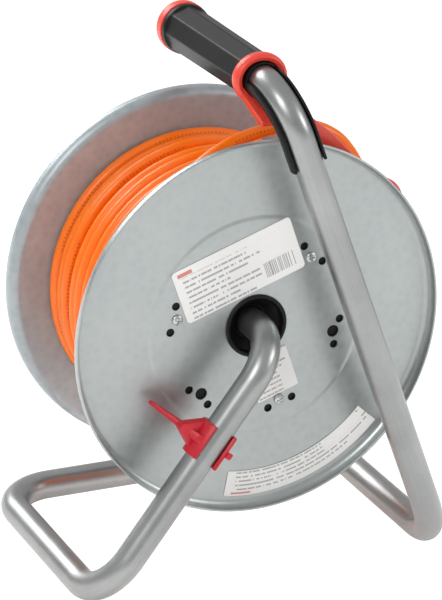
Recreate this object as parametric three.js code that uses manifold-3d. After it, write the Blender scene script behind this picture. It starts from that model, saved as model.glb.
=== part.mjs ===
// Extension cord reel: a pressed-steel drum of cord turning on a bent steel tube frame.
// Millimetres. +Z is up, the drum's axis is along Y, the sockets face -Y, the floor is z = 0.
import * as THREE from 'three';
import { mergeVertices } from 'three/addons/utils/BufferGeometryUtils.js';
import Module from 'manifold-3d';

const wasm = await Module();
wasm.setup();

// Frame tube
const tubeRadius = 11;
const tubeWall = 1.5;
const halfWidth = 139; // centreline of each ground bar from the middle plane
const halfDepth = 105; // centreline of the rear legs and of the front ground bar
const footBend = 40;
const topBend = 37;
const hubBend = 34;

// Drum
const axisHeight = tubeRadius + 183;
const flangeRadius = 145;
const rimY = 74; // plane of each rim, either side of the middle
const plateY = 65; // outer face of each flange's flat
const sheet = 1;
const barrelRadius = 72;
const windingRadius = 115.5;
const windingHalf = 62.9;
const laneY = 24; // free lane round the winding, where the last turn lies
const laneHalf = 5.3;
const laneFloor = 104.4;
const screwCircle = 64.5;
const holeCircle = 68.5;

// Grip
const gripSlope = THREE.MathUtils.degToRad(0.3);
const cornerHeight = 384; // where the sloping tube would meet the grip's line
const gripHeight = cornerHeight - halfDepth * Math.tan(gripSlope);
const gripFront = -74;
const gripBack = 57;
const gripRadius = 18.4;

// Sockets, in a ring on the front panel
const socketCircle = 46;
const socketOuter = 23.5;
const socketWell = 19.6;
const socketFace = -87;
const wellFloor = -70;
const flapHinge = 27; // hinge pin outward of the socket's centre
const knobCircle = 123;

// Cord
const cordRadius = 4.85;

const gap = 0.3;
const part = new THREE.Group();
const drum = new THREE.Group();
drum.position.set(0, 0, axisHeight);
part.add(drum);

function material(color, roughness, metalness) {
  return new THREE.MeshStandardMaterial({ color, roughness, metalness });
}
const galvanised = material(0xb0bcbc, 0.42, 0.85);
const tubeSteel = material(0xaaaca8, 0.35, 0.9);
const zinc = material(0xc4c6c4, 0.3, 0.95);
const blackPlastic = material(0x1e1c1a, 0.5, 0);
const gripRubber = material(0x2d2d2f, 0.65, 0);
const redPlastic = material(0xeb4137, 0.4, 0);
const brakeRed = material(0xdc2837, 0.38, 0);
const orangeCord = material(0xfa7323, 0.35, 0);
const paper = material(0xf0eee8, 0.6, 0);

function addMesh(parent, name, geometry, look) {
  const mesh = new THREE.Mesh(geometry, look);
  mesh.name = name;
  parent.add(mesh);
  return mesh;
}

// Solids: turn a closed geometry into one that can be cut and joined, and back again.
function solid(geometry) {
  const bare = geometry.clone();
  bare.deleteAttribute('normal');
  bare.deleteAttribute('uv');
  const merged = mergeVertices(bare, 1e-4);
  return new wasm.Manifold(new wasm.Mesh({
    numProp: 3,
    vertProperties: new Float32Array(merged.attributes.position.array),
    triVerts: new Uint32Array(merged.index.array),
  }));
}

function geometryOf(body) {
  const mesh = body.getMesh();
  const geometry = new THREE.BufferGeometry();
  geometry.setAttribute('position', new THREE.BufferAttribute(mesh.vertProperties, 3));
  geometry.setIndex(new THREE.BufferAttribute(mesh.triVerts, 1));
  geometry.computeVertexNormals();
  return geometry;
}

function cut(geometry, ...tools) {
  return geometryOf(tools.reduce((body, tool) => body.subtract(solid(tool)), solid(geometry)));
}

function join(geometry, ...others) {
  return geometryOf(others.reduce((body, other) => body.add(solid(other)), solid(geometry)));
}

// A solid of revolution about Y from an outline of [radius, y] points.
function turned(outline, sides) {
  let area = 0;
  outline.forEach(([r, y], i) => {
    const [r2, y2] = outline[(i + 1) % outline.length];
    area += r * y2 - r2 * y;
  });
  const points = outline.map(([r, y]) => new THREE.Vector2(r, y));
  if (area < 0) points.reverse();
  const onAxis = points.filter((p) => p.x === 0).length;
  if (onAxis === 0) points.push(points[0].clone());
  while (onAxis > 0 && points[0].x !== 0) points.push(points.shift());
  if (onAxis > 1 && points[points.length - 1].x !== 0) points.push(points.shift());
  return new THREE.LatheGeometry(points, sides);
}

// The outline of a bent sheet: its middle line of [radius, y] points, thickened both ways.
function sheetOutline(line, thickness) {
  const side = (sign) => line.map(([r, y], i) => {
    const [r0, y0] = line[Math.max(i - 1, 0)];
    const [r1, y1] = line[Math.min(i + 1, line.length - 1)];
    const length = Math.hypot(r1 - r0, y1 - y0);
    const reach = (sign * thickness) / 2 / length;
    return [r - (y1 - y0) * reach, y + (r1 - r0) * reach];
  });
  return [...side(1), ...side(-1).reverse()];
}

// A round rod along Y between two heights, at x and z.
function rod(radius, y0, y1, x = 0, z = 0, sides = 16) {
  const geometry = new THREE.CylinderGeometry(radius, radius, Math.abs(y1 - y0), sides);
  return geometry.translate(x, (y0 + y1) / 2, z);
}

function box(x0, x1, y0, y1, z0, z1) {
  const geometry = new THREE.BoxGeometry(x1 - x0, y1 - y0, z1 - z0);
  return geometry.translate((x0 + x1) / 2, (y0 + y1) / 2, (z0 + z1) / 2);
}

function outlineShape(points) {
  return new THREE.Shape(points.map(([x, y]) => new THREE.Vector2(x, y)));
}

// A path of straight runs joined by round bends, stepped only where it bends.
class BentPath extends THREE.Curve {
  constructor(corners, bendSteps) {
    super();
    this.stations = [];
    const points = corners.map((c) => new THREE.Vector3(...c.at));
    const direction = (a, b) => points[b].clone().sub(points[a]).normalize();
    this.addStation(points[0], direction(0, 1));
    for (let i = 1; i < points.length - 1; i += 1) {
      const before = direction(i - 1, i);
      const after = direction(i, i + 1);
      const turn = before.angleTo(after);
      const radius = corners[i].bend;
      const start = points[i].clone().addScaledVector(before, -radius * Math.tan(turn / 2));
      const inward = after.clone().addScaledVector(before, -before.dot(after)).normalize();
      for (let s = 0; s <= bendSteps; s += 1) {
        const a = (turn * s) / bendSteps;
        const at = start.clone().addScaledVector(before, radius * Math.sin(a));
        at.addScaledVector(inward, radius * (1 - Math.cos(a)));
        const along = before.clone().multiplyScalar(Math.cos(a)).addScaledVector(inward, Math.sin(a));
        this.addStation(at, along);
      }
    }
    const last = points.length - 1;
    this.addStation(points[last], direction(last - 1, last));
  }

  addStation(at, along) {
    this.stations.push({ at: at.clone(), along: along.clone().normalize() });
  }

  get steps() {
    return this.stations.length - 1;
  }

  getPointAt(u, target = new THREE.Vector3()) {
    return target.copy(this.stations[Math.round(u * this.steps)].at);
  }

  getTangentAt(u, target = new THREE.Vector3()) {
    return target.copy(this.stations[Math.round(u * this.steps)].along);
  }
}

// The angle, in a path's section plane at one station, of a direction in space.
function sectionAngle(path, station, direction) {
  const frames = path.computeFrenetFrames(path.steps, false);
  return Math.atan2(direction.dot(frames.binormals[station]), direction.dot(frames.normals[station]));
}

function polygon(radius, sides, turn) {
  const ring = [];
  for (let i = 0; i < sides; i += 1) {
    const a = turn + ((i + 0.5) * 2 * Math.PI) / sides;
    ring.push([radius * Math.cos(a), radius * Math.sin(a)]);
  }
  return ring;
}

function along(path, shape) {
  return new THREE.ExtrudeGeometry(shape, {
    steps: path.steps, extrudePath: path, bevelEnabled: false, curveSegments: 1,
  });
}

// ---- Frame: one bent tube is the axle, the legs, the three ground bars and the handle. ----
const onGripLine = (y) => gripHeight + y * Math.tan(gripSlope);
const corners = [
  { at: [0, -56, axisHeight] },
  { at: [0, halfDepth, axisHeight], bend: hubBend },
  { at: [halfWidth, halfDepth, tubeRadius], bend: footBend },
  { at: [halfWidth, -halfDepth, tubeRadius], bend: footBend },
  { at: [-halfWidth, -halfDepth, tubeRadius], bend: footBend },
  { at: [-halfWidth, halfDepth, tubeRadius], bend: footBend },
  { at: [0, halfDepth, cornerHeight], bend: topBend },
  { at: [0, -80, onGripLine(-80)] },
];
const framePath = new BentPath(corners, 5);
const down = new THREE.Vector3(0, 0, -1);
const frontBar = framePath.stations.findIndex((s) => s.along.x < -0.999);
const flatDown = sectionAngle(framePath, frontBar, down);
const tubeSides = 14;
const tubeSection = outlineShape(polygon(tubeRadius / Math.cos(Math.PI / tubeSides), tubeSides, flatDown));
tubeSection.holes.push(outlineShape(polygon((tubeRadius - tubeWall) / Math.cos(Math.PI / 10), 10, flatDown)));
addMesh(part, 'frame_tube', along(framePath, tubeSection), tubeSteel);

// ---- Grip: red core, faceted black shell, red end cap and a black liner round the bend. ----
const grip = new THREE.Group();
grip.position.set(0, 0, gripHeight);
grip.rotation.x = gripSlope;
part.add(grip);
const coreInner = 11.6;
const core = turned([[coreInner, -72], [14.2, -72], [14.2, 57.8], [coreInner, 57.8]], 20);
// The ring at the grip's root is a little wider than it is tall.
const ringHole = 13.9;
const ring = turned([
  [12, gripBack + gap], [17.4, gripBack + gap], [19.2, 59.6], [19.8, 62.5], [19, 66.4], [17, 67.8],
  [14.8, 67.2], [ringHole, 65.4], [ringHole, 59.8], [12, 59.4],
], 24).scale(1.06, 1, 0.97);
// The spine is a thin red strip under the grip; the web narrows from the ring down to the guide.
const spineShape = outlineShape([
  [-45, -18], [-45, -19.4], [20, -20.2], [45, -21.8], [60, -22.6], [60, -17],
]);
const spineBlank = new THREE.ExtrudeGeometry(spineShape, { depth: 12, bevelEnabled: false })
  .applyMatrix4(new THREE.Matrix4().set(0, 0, 1, -6, 1, 0, 0, 0, 0, 1, 0, 0, 0, 0, 0, 1));
const shellRoom = new THREE.CylinderGeometry(gripRadius + gap, gripRadius + gap, 140, 24)
  .translate(0, gripBack + gap - 70, 0);
const ringFoot = solid(turned([[0, 58.5], [18, 58.5], [18, 66.4], [0, 66.4]], 24).scale(1.06, 1, 0.97))
  .intersect(solid(box(-30, 30, 50, 70, -30, -5)));
const webBlank = geometryOf(wasm.Manifold.hull([ringFoot, solid(box(-5, 5, 71, 80, -32, -27))]));
const ringRoom = new THREE.CylinderGeometry(ringHole + 0.2, ringHole + 0.2, 20, 24).scale(1.06, 1, 0.97).translate(0, 69.8, 0);
const tubeRoom = new THREE.CylinderGeometry(12, 12, 20, 24).translate(0, 60, 0);
const web = cut(webBlank, tubeRoom, ringRoom, box(-30, -12.4, 67.4, 90, -60, 0));
const redCore = join(core, ring, cut(spineBlank, shellRoom), web).rotateX(gripSlope).translate(0, 0, gripHeight);
addMesh(grip, 'grip_shell', turned([
  [15.7, gripFront], [18.4, gripFront], [19.4, gripFront + 1.2], [19.4, gripFront + 5], [gripRadius, gripFront + 7.5],
  [gripRadius, gripFront + 12], [17.3, gripBack], [15.7, gripBack],
], 8), gripRubber);
addMesh(grip, 'grip_end_cap', turned([
  [0, -85], [14, -85], [18.6, -84.4], [20, -81.6], [20, gripFront - gap], [14.2, gripFront - gap],
  [14.2, -72.6], [11.9, -72.6], [11.9, -82.2], [0, -82.2],
], 24), redPlastic);

const linerPath = new BentPath([
  { at: [0, 67.9, onGripLine(67.9)] },
  { at: [0, halfDepth, cornerHeight], bend: topBend },
  { at: [-20.4, halfDepth, cornerHeight - 54.7] },
], 5);
const diagonal = new THREE.Vector3(-halfWidth, 0, tubeRadius - cornerHeight).normalize();
const linerDown = sectionAngle(linerPath, 0, diagonal);
const linerRoom = along(linerPath, outlineShape(polygon(14.6, 16, linerDown)));
addMesh(part, 'grip_core', cut(redCore, linerRoom), redPlastic);
const channel = [];
for (let i = 0; i <= 8; i += 1) {
  const a = linerDown + THREE.MathUtils.degToRad(-108 + (216 * i) / 8);
  channel.push([11.9 * Math.cos(a), 11.9 * Math.sin(a)]);
}
for (let i = 8; i >= 0; i -= 1) {
  const a = linerDown + THREE.MathUtils.degToRad(-108 + (216 * i) / 8);
  channel.push([14.2 * Math.cos(a), 14.2 * Math.sin(a)]);
}
const linerBush = turned([[11.9, 60.2], [13.1, 60.2], [13.1, 68.8], [11.9, 68.8]], 24);
linerBush.rotateX(gripSlope).translate(0, 0, gripHeight);
addMesh(part, 'grip_liner', join(along(linerPath, outlineShape(channel)), linerBush), gripRubber);

// ---- Drum: two pressed flanges on a black barrel that turns on the tube. ----
const flangeLine = [[22.6, plateY - 0.5], [82, plateY - 0.5], [86, plateY - 1.1]];
const lipBend = 7;
const lipStart = flangeRadius - sheet / 2 - lipBend;
for (let i = 0; i <= 2; i += 1) {
  const a = (i * Math.PI) / 4;
  flangeLine.push([lipStart + lipBend * Math.sin(a), plateY - 1.1 + lipBend * (1 - Math.cos(a))]);
}
flangeLine.push([lipStart + lipBend, rimY - 0.5]);
const holeAngles = [12, 132, 252].map(THREE.MathUtils.degToRad);
const ventAngles = [192, 312].map(THREE.MathUtils.degToRad);
const spot = (radius, angle) => [radius * Math.cos(angle), radius * Math.sin(angle)];

function flangeHoles(y0, y1) {
  const tools = [];
  const flank = THREE.MathUtils.degToRad(8.5);
  [...holeAngles, ...ventAngles].forEach((angle, i) => {
    const [x, z] = spot(screwCircle, angle);
    tools.push(rod(i < 3 ? 2.3 : 4.7, y0, y1, x, z, i < 3 ? 8 : 10));
    [-flank, flank].forEach((side) => {
      const [hx, hz] = spot(holeCircle, angle + side);
      tools.push(rod(3.2, y0, y1, hx, hz, 8));
    });
  });
  return tools;
}

const rearFlange = turned(sheetOutline(flangeLine, sheet), 40);
addMesh(drum, 'rear_flange', cut(rearFlange, ...flangeHoles(60, 70)), galvanised);
const frontLine = flangeLine.map(([r, y]) => [Math.max(r, 69.2), -y]);
const [studX, studZ] = spot(knobCircle, THREE.MathUtils.degToRad(150));
const frontFlange = turned(sheetOutline(frontLine, sheet), 40);
addMesh(drum, 'front_flange', cut(frontFlange, rod(4.4, -60, -70, studX, studZ, 12)), galvanised);

let drumCore = turned([
  [barrelRadius, -62.9], [barrelRadius, 63.1], [26.6, 63.1], [26.6, 61.5], [14.4, 50], [12.4, 49.6],
  [12.4, -54], [15, -54], [15, 47.4], [28, 60.3], [barrelRadius - 2.5, 60.3],
  [barrelRadius - 2.5, -62.9],
], 30);
const frontBosses = [30, 150, 270].map(THREE.MathUtils.degToRad);
const bosses = [];
const bores = [];
holeAngles.forEach((angle) => {
  const [x, z] = spot(screwCircle, angle);
  bosses.push(rod(5.2, 48, 61, x, z, 8));
  bores.push(rod(2.2, 46, 66, x, z, 8));
});
frontBosses.forEach((angle) => {
  const [x, z] = spot(screwCircle, angle);
  bosses.push(rod(5.2, -62, -40, x, z, 8));
  bores.push(rod(2.2, -66, -38, x, z, 8));
});
drumCore = cut(join(drumCore, ...bosses), ...bores);
addMesh(drum, 'drum_core', drumCore, blackPlastic);

addMesh(drum, 'hub_bush', turned([
  [11.6, 52], [13.6, 52], [22, 60.6], [22, 65.3], [24.3, 65.3], [24.3, 66.6], [22.6, 67.2],
  [21.2, 66.2], [20.6, 61.4], [12.8, 54.4], [11.6, 54.2],
], 18), blackPlastic);
addMesh(drum, 'thrust_washer', turned([[11.7, -54.3], [11.7, -55.6], [17, -55.6], [17, -54.3]], 24), zinc);
addMesh(part, 'axle_retainer', turned([
  [2.3, -44], [8.9, -44], [8.9, -56.3], [16, -56.3], [16, -58.8], [2.3, -58.8],
], 24).translate(0, 0, axisHeight), blackPlastic);
addMesh(part, 'axle_screw', turned([
  [0, -46], [2, -46], [2, -59.1], [4.6, -59.1], [4.6, -60.6], [3, -61.6], [0, -61.6],
], 12).translate(0, 0, axisHeight), zinc);

function screw(parent, name, x, z, head, tip) {
  const out = Math.sign(head);
  addMesh(parent, name, turned([
    [0, tip], [1.8, tip], [1.8, head], [4, head], [4, head + out * 1.1], [2.6, head + out * 2.2],
    [0, head + out * 2.2],
  ], 8).translate(x, 0, z), zinc);
}
holeAngles.forEach((angle, i) => {
  const [x, z] = spot(screwCircle, angle);
  screw(drum, `rear_screw_${i + 1}`, x, z, plateY + gap, 50);
});

// ---- Front panel: the raised plate that carries the sockets. ----
const panelTop = -69.5;
const socketAngles = [90, 210, 330].map(THREE.MathUtils.degToRad);
let panel = turned([[0, -65.3], [86, -65.3], [86, -66.6], [83.6, panelTop], [0, panelTop]], 32);
const panelCuts = socketAngles.map((angle) => {
  const [x, z] = spot(socketCircle, angle);
  return rod(socketOuter - 1.2, -60, -75, x, z, 20);
});
const cutoutSpot = spot(44, frontBosses[0]);
const lampSpot = spot(44, frontBosses[1]);
panelCuts.push(rod(7.4, -60, -75, ...cutoutSpot, 16), rod(3.4, -60, -75, ...lampSpot, 12));
frontBosses.forEach((angle) => panelCuts.push(rod(2.3, -60, -75, ...spot(screwCircle, angle), 10)));
panel = cut(panel, ...panelCuts);
addMesh(drum, 'socket_panel', panel, blackPlastic);
frontBosses.forEach((angle, i) => {
  const [x, z] = spot(screwCircle, angle);
  screw(drum, `panel_screw_${i + 1}`, x, z, panelTop - gap, -50);
});
addMesh(drum, 'hub_cap', turned([
  [0, panelTop - gap], [13.4, panelTop - gap], [13.4, -71.4], [12, -73], [0, -73],
], 24), redPlastic);

const wellRods = [
  rod(socketWell, wellFloor, -95, 0, 0, 20),
  rod(2.6, -55, -75, 0, 9.5, 8), rod(2.6, -55, -75, 0, -9.5, 8),
];
const pinRadius = 1.3;
const pinY = -88.6;
socketAngles.forEach((angle, i) => {
  const mount = new THREE.Group();
  mount.position.set(...[0, 1, 2].map((k) => (k === 1 ? 0 : spot(socketCircle, angle)[k / 2])));
  mount.rotation.y = -angle;
  drum.add(mount);
  const n = i + 1;
  const body = turned([
    [0, -61], [socketOuter - 1.6, -61], [socketOuter - 1.6, panelTop - gap],
    [socketOuter + 1, panelTop - gap], [socketOuter, socketFace], [0, socketFace],
  ], 20);
  const lugs = [-1, 1].flatMap((side) => {
    const z = side * 13.5;
    return [
      box(21.5, flapHinge + 3, -91, -76, z - 1.5, z + 1.5),
      box(17, flapHinge + 3, socketFace, -76, z - 1.5, z + 1.5),
    ];
  });
  const pinBore = rod(pinRadius + gap, -20, 20, 0, 0, 10).rotateX(Math.PI / 2).translate(flapHinge, pinY, 0);
  const pocket = box(flapHinge - 3.7, flapHinge + 4, -92, pinY + 3.6, -11.9, 11.9);
  addMesh(mount, `socket_${n}`, cut(join(body, ...lugs), ...wellRods, pinBore, pocket), blackPlastic);
  const pin = rod(pinRadius, -15, 15, 0, 0, 8).rotateX(Math.PI / 2).translate(flapHinge, pinY, 0);
  addMesh(mount, `flap_pin_${n}`, pin, zinc);
  const lid = rod(socketOuter - 0.2, socketFace - gap, socketFace - 3, 0, 0, 20);
  const tongue = box(14, flapHinge, socketFace - 3, socketFace - gap, -11.6, 11.6);
  const knuckle = rod(3.2, -11.6, 11.6, 0, 0, 10).rotateX(Math.PI / 2).translate(flapHinge, pinY, 0);
  const lift = box(-26, -20, socketFace - 3, socketFace - gap, -6, 6);
  addMesh(mount, `socket_flap_${n}`, cut(join(lid, tongue, knuckle, lift), pinBore), blackPlastic);
});

// Overload cutout with its push-to-reset button, and the supply lamp.
addMesh(drum, 'thermal_cutout', turned([
  [5.6, -62], [7, -62], [7, panelTop - gap], [9.4, panelTop - gap], [9.4, -73.6], [5.6, -73.6],
], 20).translate(cutoutSpot[0], 0, cutoutSpot[1]), blackPlastic);
addMesh(drum, 'reset_button', turned([
  [0, -64], [5.2, -64], [5.2, -76.4], [4.4, -77.4], [0, -77.4],
], 16).translate(cutoutSpot[0], 0, cutoutSpot[1]), redPlastic);
addMesh(drum, 'supply_lamp', turned([
  [0, -62], [3.1, -62], [3.1, panelTop - gap], [4.6, panelTop - gap], [3.6, -72.6], [0, -73.4],
], 12).translate(lampSpot[0], 0, lampSpot[1]), paper);

// Winding knob, its bolt and the nut inside the flange.
addMesh(drum, 'winding_knob', turned([
  [4.5, -68.6], [9, -68.6], [10.2, -72], [10.6, -84], [12.8, -104], [13, -113], [11.6, -117.6],
  [8, -118.6], [8, -112], [4.5, -112],
], 14).translate(studX, 0, studZ), blackPlastic);
addMesh(drum, 'knob_bolt', turned([
  [0, -60.6], [4, -60.6], [4, -112.3], [7.4, -112.3], [7.4, -115], [5, -116], [0, -116],
], 10).translate(studX, 0, studZ), zinc);
addMesh(drum, 'knob_nut', turned([[5, -60.6], [6.9, -60.6], [6.9, -63.1], [5, -63.1]], 6)
  .translate(studX, 0, studZ), zinc);
addMesh(drum, 'knob_washer', turned([[4.5, -65.3], [9, -65.3], [9, -68], [4.5, -68]], 14)
  .translate(studX, 0, studZ), zinc);

// ---- Labels on the rear flange. ----
const labelTilt = THREE.MathUtils.degToRad(-19.4);
function label(name, shape, y) {
  const flat = new THREE.ExtrudeGeometry(shape, { depth: 0.3, bevelEnabled: false, curveSegments: 12 });
  addMesh(drum, name, flat.rotateX(Math.PI / 2).translate(0, y + 0.3, 0), paper);
}
function tiltedBox(centre, width, height, round) {
  const place = (x, z) => {
    const c = Math.cos(-labelTilt);
    const s = Math.sin(labelTilt);
    return [centre[0] + x * c - z * s, centre[1] + x * s + z * c];
  };
  const ring = [];
  [[1, 1], [-1, 1], [-1, -1], [1, -1]].forEach(([sx, sz], k) => {
    for (let i = 0; i <= 2; i += 1) {
      const a = ((k + i / 2) * Math.PI) / 2;
      const x = sx * (width / 2 - round) + round * Math.cos(a);
      ring.push(place(x, sz * (height / 2 - round) + round * Math.sin(a)));
    }
  });
  return outlineShape(ring);
}
label('rating_label', tiltedBox([14.9, 45.7], 99, 43, 3), plateY + gap);
label('notice_label', tiltedBox([-13.6, -40.6], 34.5, 34.5, 1), plateY + gap);
const sector = new THREE.Shape();
sector.absarc(0, 0, 136, THREE.MathUtils.degToRad(-80), THREE.MathUtils.degToRad(-138), true);
sector.absarc(0, 0, 116, THREE.MathUtils.degToRad(-138), THREE.MathUtils.degToRad(-80), false);
label('curved_label', sector, plateY - 0.3);

// ---- Brake: a clip that turns on the rear leg and bears on the flange. ----
const legFoot = new THREE.Vector3(halfWidth, halfDepth, tubeRadius);
const legTop = new THREE.Vector3(0, halfDepth, axisHeight);
const legDown = legFoot.clone().sub(legTop).normalize();
const legSide = new THREE.Vector3(-legDown.z, 0, legDown.x);
const towardDrum = legDown.clone().cross(legSide);
const brake = new THREE.Group();
const brakeBasis = new THREE.Matrix4().makeBasis(legSide, towardDrum, legDown);
brake.quaternion.setFromRotationMatrix(brakeBasis);
brake.position.copy(legTop).addScaledVector(legDown, 88);
part.add(brake);
const clip = [];
for (let i = 0; i <= 12; i += 1) {
  const a = THREE.MathUtils.degToRad(-48 + (276 * i) / 12);
  clip.push([14.8 * Math.cos(a), 14.8 * Math.sin(a)]);
}
for (let i = 12; i >= 0; i -= 1) {
  const a = THREE.MathUtils.degToRad(-48 + (276 * i) / 12);
  clip.push([11.6 * Math.cos(a), 11.6 * Math.sin(a)]);
}
const collar = new THREE.ExtrudeGeometry(outlineShape(clip), { depth: 28, bevelEnabled: false })
  .translate(0, 0, -14);
// The blade of the wing thins towards its tip.
const blade = new THREE.ExtrudeGeometry(outlineShape([
  [10, -9], [16, -7], [44, 30], [44, 32.6], [41.5, 32.6], [10, 5],
]), { depth: 7, bevelEnabled: false }).translate(0, 0, -3.5);
const bladePoints = blade.attributes.position;
for (let i = 0; i < bladePoints.count; i += 1) {
  bladePoints.setZ(i, bladePoints.getZ(i) * (1 - 0.018 * (bladePoints.getX(i) - 10)));
}
const gusset = new THREE.ExtrudeGeometry(outlineShape([
  [10, -13.4], [13, -13.4], [29, -2.4], [29, 2.4], [13, 10], [10, 10],
]), { depth: 8, bevelEnabled: false }).rotateX(Math.PI / 2).translate(0, 7, 0);
const nub = box(-17, -10.5, -12, -8.6, -4, 3);
const bore = new THREE.CylinderGeometry(11.6, 11.6, 40, 24).rotateX(Math.PI / 2);
addMesh(brake, 'brake_clip', cut(join(collar, blade, gusset, nub), bore), brakeRed);

// ---- Cord: the wound cord, the tail lying over it, and the parked plug. ----
addMesh(drum, 'cord_winding', turned([
  [barrelRadius + gap, -windingHalf], [windingRadius - 3, -windingHalf], [windingRadius, -windingHalf + 4],
  [windingRadius, laneY - laneHalf], [laneFloor, laneY - laneHalf], [laneFloor, laneY + laneHalf],
  [windingRadius, laneY + laneHalf],
  [windingRadius, windingHalf - 4], [windingRadius - 3, windingHalf], [barrelRadius + gap, windingHalf],
], 36), orangeCord);


// The tail's centreline, as [angle round the axle in degrees, distance from it, y].
const plugStart = new THREE.Vector3(-108, 17, axisHeight + 87.5);
const plugLean = THREE.MathUtils.degToRad(60); // below the horizontal
const laneRadius = 110.2;
const tailRoute = [];
for (let degrees = -80; degrees <= 58; degrees += 11.5) tailRoute.push([degrees, laneRadius, laneY]);
tailRoute.push(
  [64, 111.4, 24], [70, 114.6, 24], [76, 118.8, 23.6], [83, 123.6, 21.6], [90, 128, 19], [97, 132.8, 17.5],
  [104, 138.4, 17], [111, 143.8, 17], [118, 147.6, 17], [125, 148, 17], [131, 145.2, 17], [136.5, 141.6, 17],
);
const tailPoints = tailRoute.map(([degrees, distance, y]) => {
  const [x, z] = spot(distance, THREE.MathUtils.degToRad(degrees));
  return new THREE.Vector3(x, y, axisHeight + z);
});
const plugAxis = new THREE.Vector3(-Math.cos(plugLean), 0, -Math.sin(plugLean));
tailPoints.push(plugStart.clone().addScaledVector(plugAxis, -gap));
const tailPath = new THREE.CatmullRomCurve3(tailPoints);
const tailSection = outlineShape(polygon(cordRadius, 8, 0));
addMesh(part, 'cord_tail', new THREE.ExtrudeGeometry(tailSection, {
  steps: 24, extrudePath: tailPath, bevelEnabled: false,
}), orangeCord);

// Plug pieces are made along Y, from the cord's end, and turned to lie in the guide.
const plug = new THREE.Group();
const plugSide = plugAxis.clone().cross(new THREE.Vector3(0, 1, 0));
const plugBasis = new THREE.Matrix4().makeBasis(plugSide, plugAxis, new THREE.Vector3(0, 1, 0));
plug.quaternion.setFromRotationMatrix(plugBasis);
plug.position.copy(plugStart);
part.add(plug);
addMesh(plug, 'plug_sleeve', turned([
  [0, 0], [5.8, 0], [7.6, 3], [8.2, 16], [6.4, 16.2], [6.4, 20], [0, 20],
], 14), redPlastic);
const plugBody = turned([
  [6.8, 16.6], [12, 17], [15.5, 24], [17.4, 34], [18.6, 38], [18.6, 52], [0, 52], [0, 20.6], [6.8, 20.6],
], 20);
const pinHoles = [-9.5, 9.5].map((z) => rod(2.6, 30, 60, 0, z, 10));
addMesh(plug, 'plug_body', cut(plugBody, ...pinHoles), redPlastic);
[-9.5, 9.5].forEach((z, i) => {
  addMesh(plug, `plug_pin_${i + 1}`, rod(2.3, 34, 71, 0, z, 10), zinc);
});

// ---- Cable guide: a red plate from the grip's root past the rim, ending in a clip on the plug. ----
const guideTop = axisHeight + 172;
const guideOutline = outlineShape([
  [-12.8, -8], [-20, -6.5], [-34, -11], [-59.5, -32], [-96, -69.5], [-121, -84], [-128, -96],
  [-118, -104], [-100, -92], [-72, -66], [-40, -36], [-12.8, -24],
]);
const guidePlate = new THREE.ExtrudeGeometry(guideOutline, { depth: 4, bevelEnabled: false })
  .rotateX(Math.PI / 2 - THREE.MathUtils.degToRad(13)).translate(0, 68, guideTop);
plug.updateMatrix();
const plugClip = turned([[8.7, 4], [11.2, 4], [11.2, 14], [8.7, 14]], 16).applyMatrix4(plug.matrix);
const bridge = box(-5, 5, 4, 14, 9.4, 28.5).applyMatrix4(plug.matrix);
addMesh(part, 'cable_guide', join(guidePlate, plugClip, bridge), redPlastic);

export default part;
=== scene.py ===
import math

import bmesh
import bpy
import numpy as np
from mathutils import Matrix, Vector


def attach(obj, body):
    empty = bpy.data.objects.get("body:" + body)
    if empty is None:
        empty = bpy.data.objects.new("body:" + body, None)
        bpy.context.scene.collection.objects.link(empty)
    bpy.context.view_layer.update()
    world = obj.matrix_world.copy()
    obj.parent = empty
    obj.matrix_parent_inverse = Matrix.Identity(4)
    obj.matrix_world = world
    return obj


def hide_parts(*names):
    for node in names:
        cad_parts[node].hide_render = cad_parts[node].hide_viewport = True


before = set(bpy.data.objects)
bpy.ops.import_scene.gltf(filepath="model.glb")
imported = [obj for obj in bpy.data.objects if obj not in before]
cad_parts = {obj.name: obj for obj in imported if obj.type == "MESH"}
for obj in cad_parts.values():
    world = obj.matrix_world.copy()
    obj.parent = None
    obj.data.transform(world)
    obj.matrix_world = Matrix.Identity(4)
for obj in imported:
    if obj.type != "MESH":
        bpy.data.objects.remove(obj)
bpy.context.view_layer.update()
print("frame loaded:", len(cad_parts), "nodes")

axisHeight = 194.0  # the drum's axis above the floor; lengths here are in millimetres until a mesh is made


# Shader helpers
shaderSockets = {"base": "Base Color", "rough": "Roughness", "metal": "Metallic", "normal": "Normal",
                 "coat": "Coat Weight", "coatRough": "Coat Roughness", "glow": "Emission Color",
                 "glowPower": "Emission Strength", "specular": "Specular IOR Level"}


def asColour(value):
    return (*value, 1) if isinstance(value, tuple) and len(value) == 3 else value


class Wire:
    # A socket whose operators add Math nodes: wire + 1, 1 - wire, wire * wire, and so on.
    def __init__(self, paint, socket):
        self.paint, self.socket = paint, socket

    def maths(self, operation, first, second):
        return self.paint.maths(operation, first, second)

    def __add__(self, other): return self.maths("ADD", self, other)
    def __radd__(self, other): return self.maths("ADD", other, self)
    def __sub__(self, other): return self.maths("SUBTRACT", self, other)
    def __rsub__(self, other): return self.maths("SUBTRACT", other, self)
    def __mul__(self, other): return self.maths("MULTIPLY", self, other)
    def __rmul__(self, other): return self.maths("MULTIPLY", other, self)
    def __truediv__(self, other): return self.maths("DIVIDE", self, other)
    def __pow__(self, other): return self.maths("POWER", self, other)
    def __mod__(self, other): return self.maths("FLOORED_MODULO", self, other)
    def __lt__(self, other): return self.maths("LESS_THAN", self, other)
    def __gt__(self, other): return self.maths("GREATER_THAN", self, other)


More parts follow.
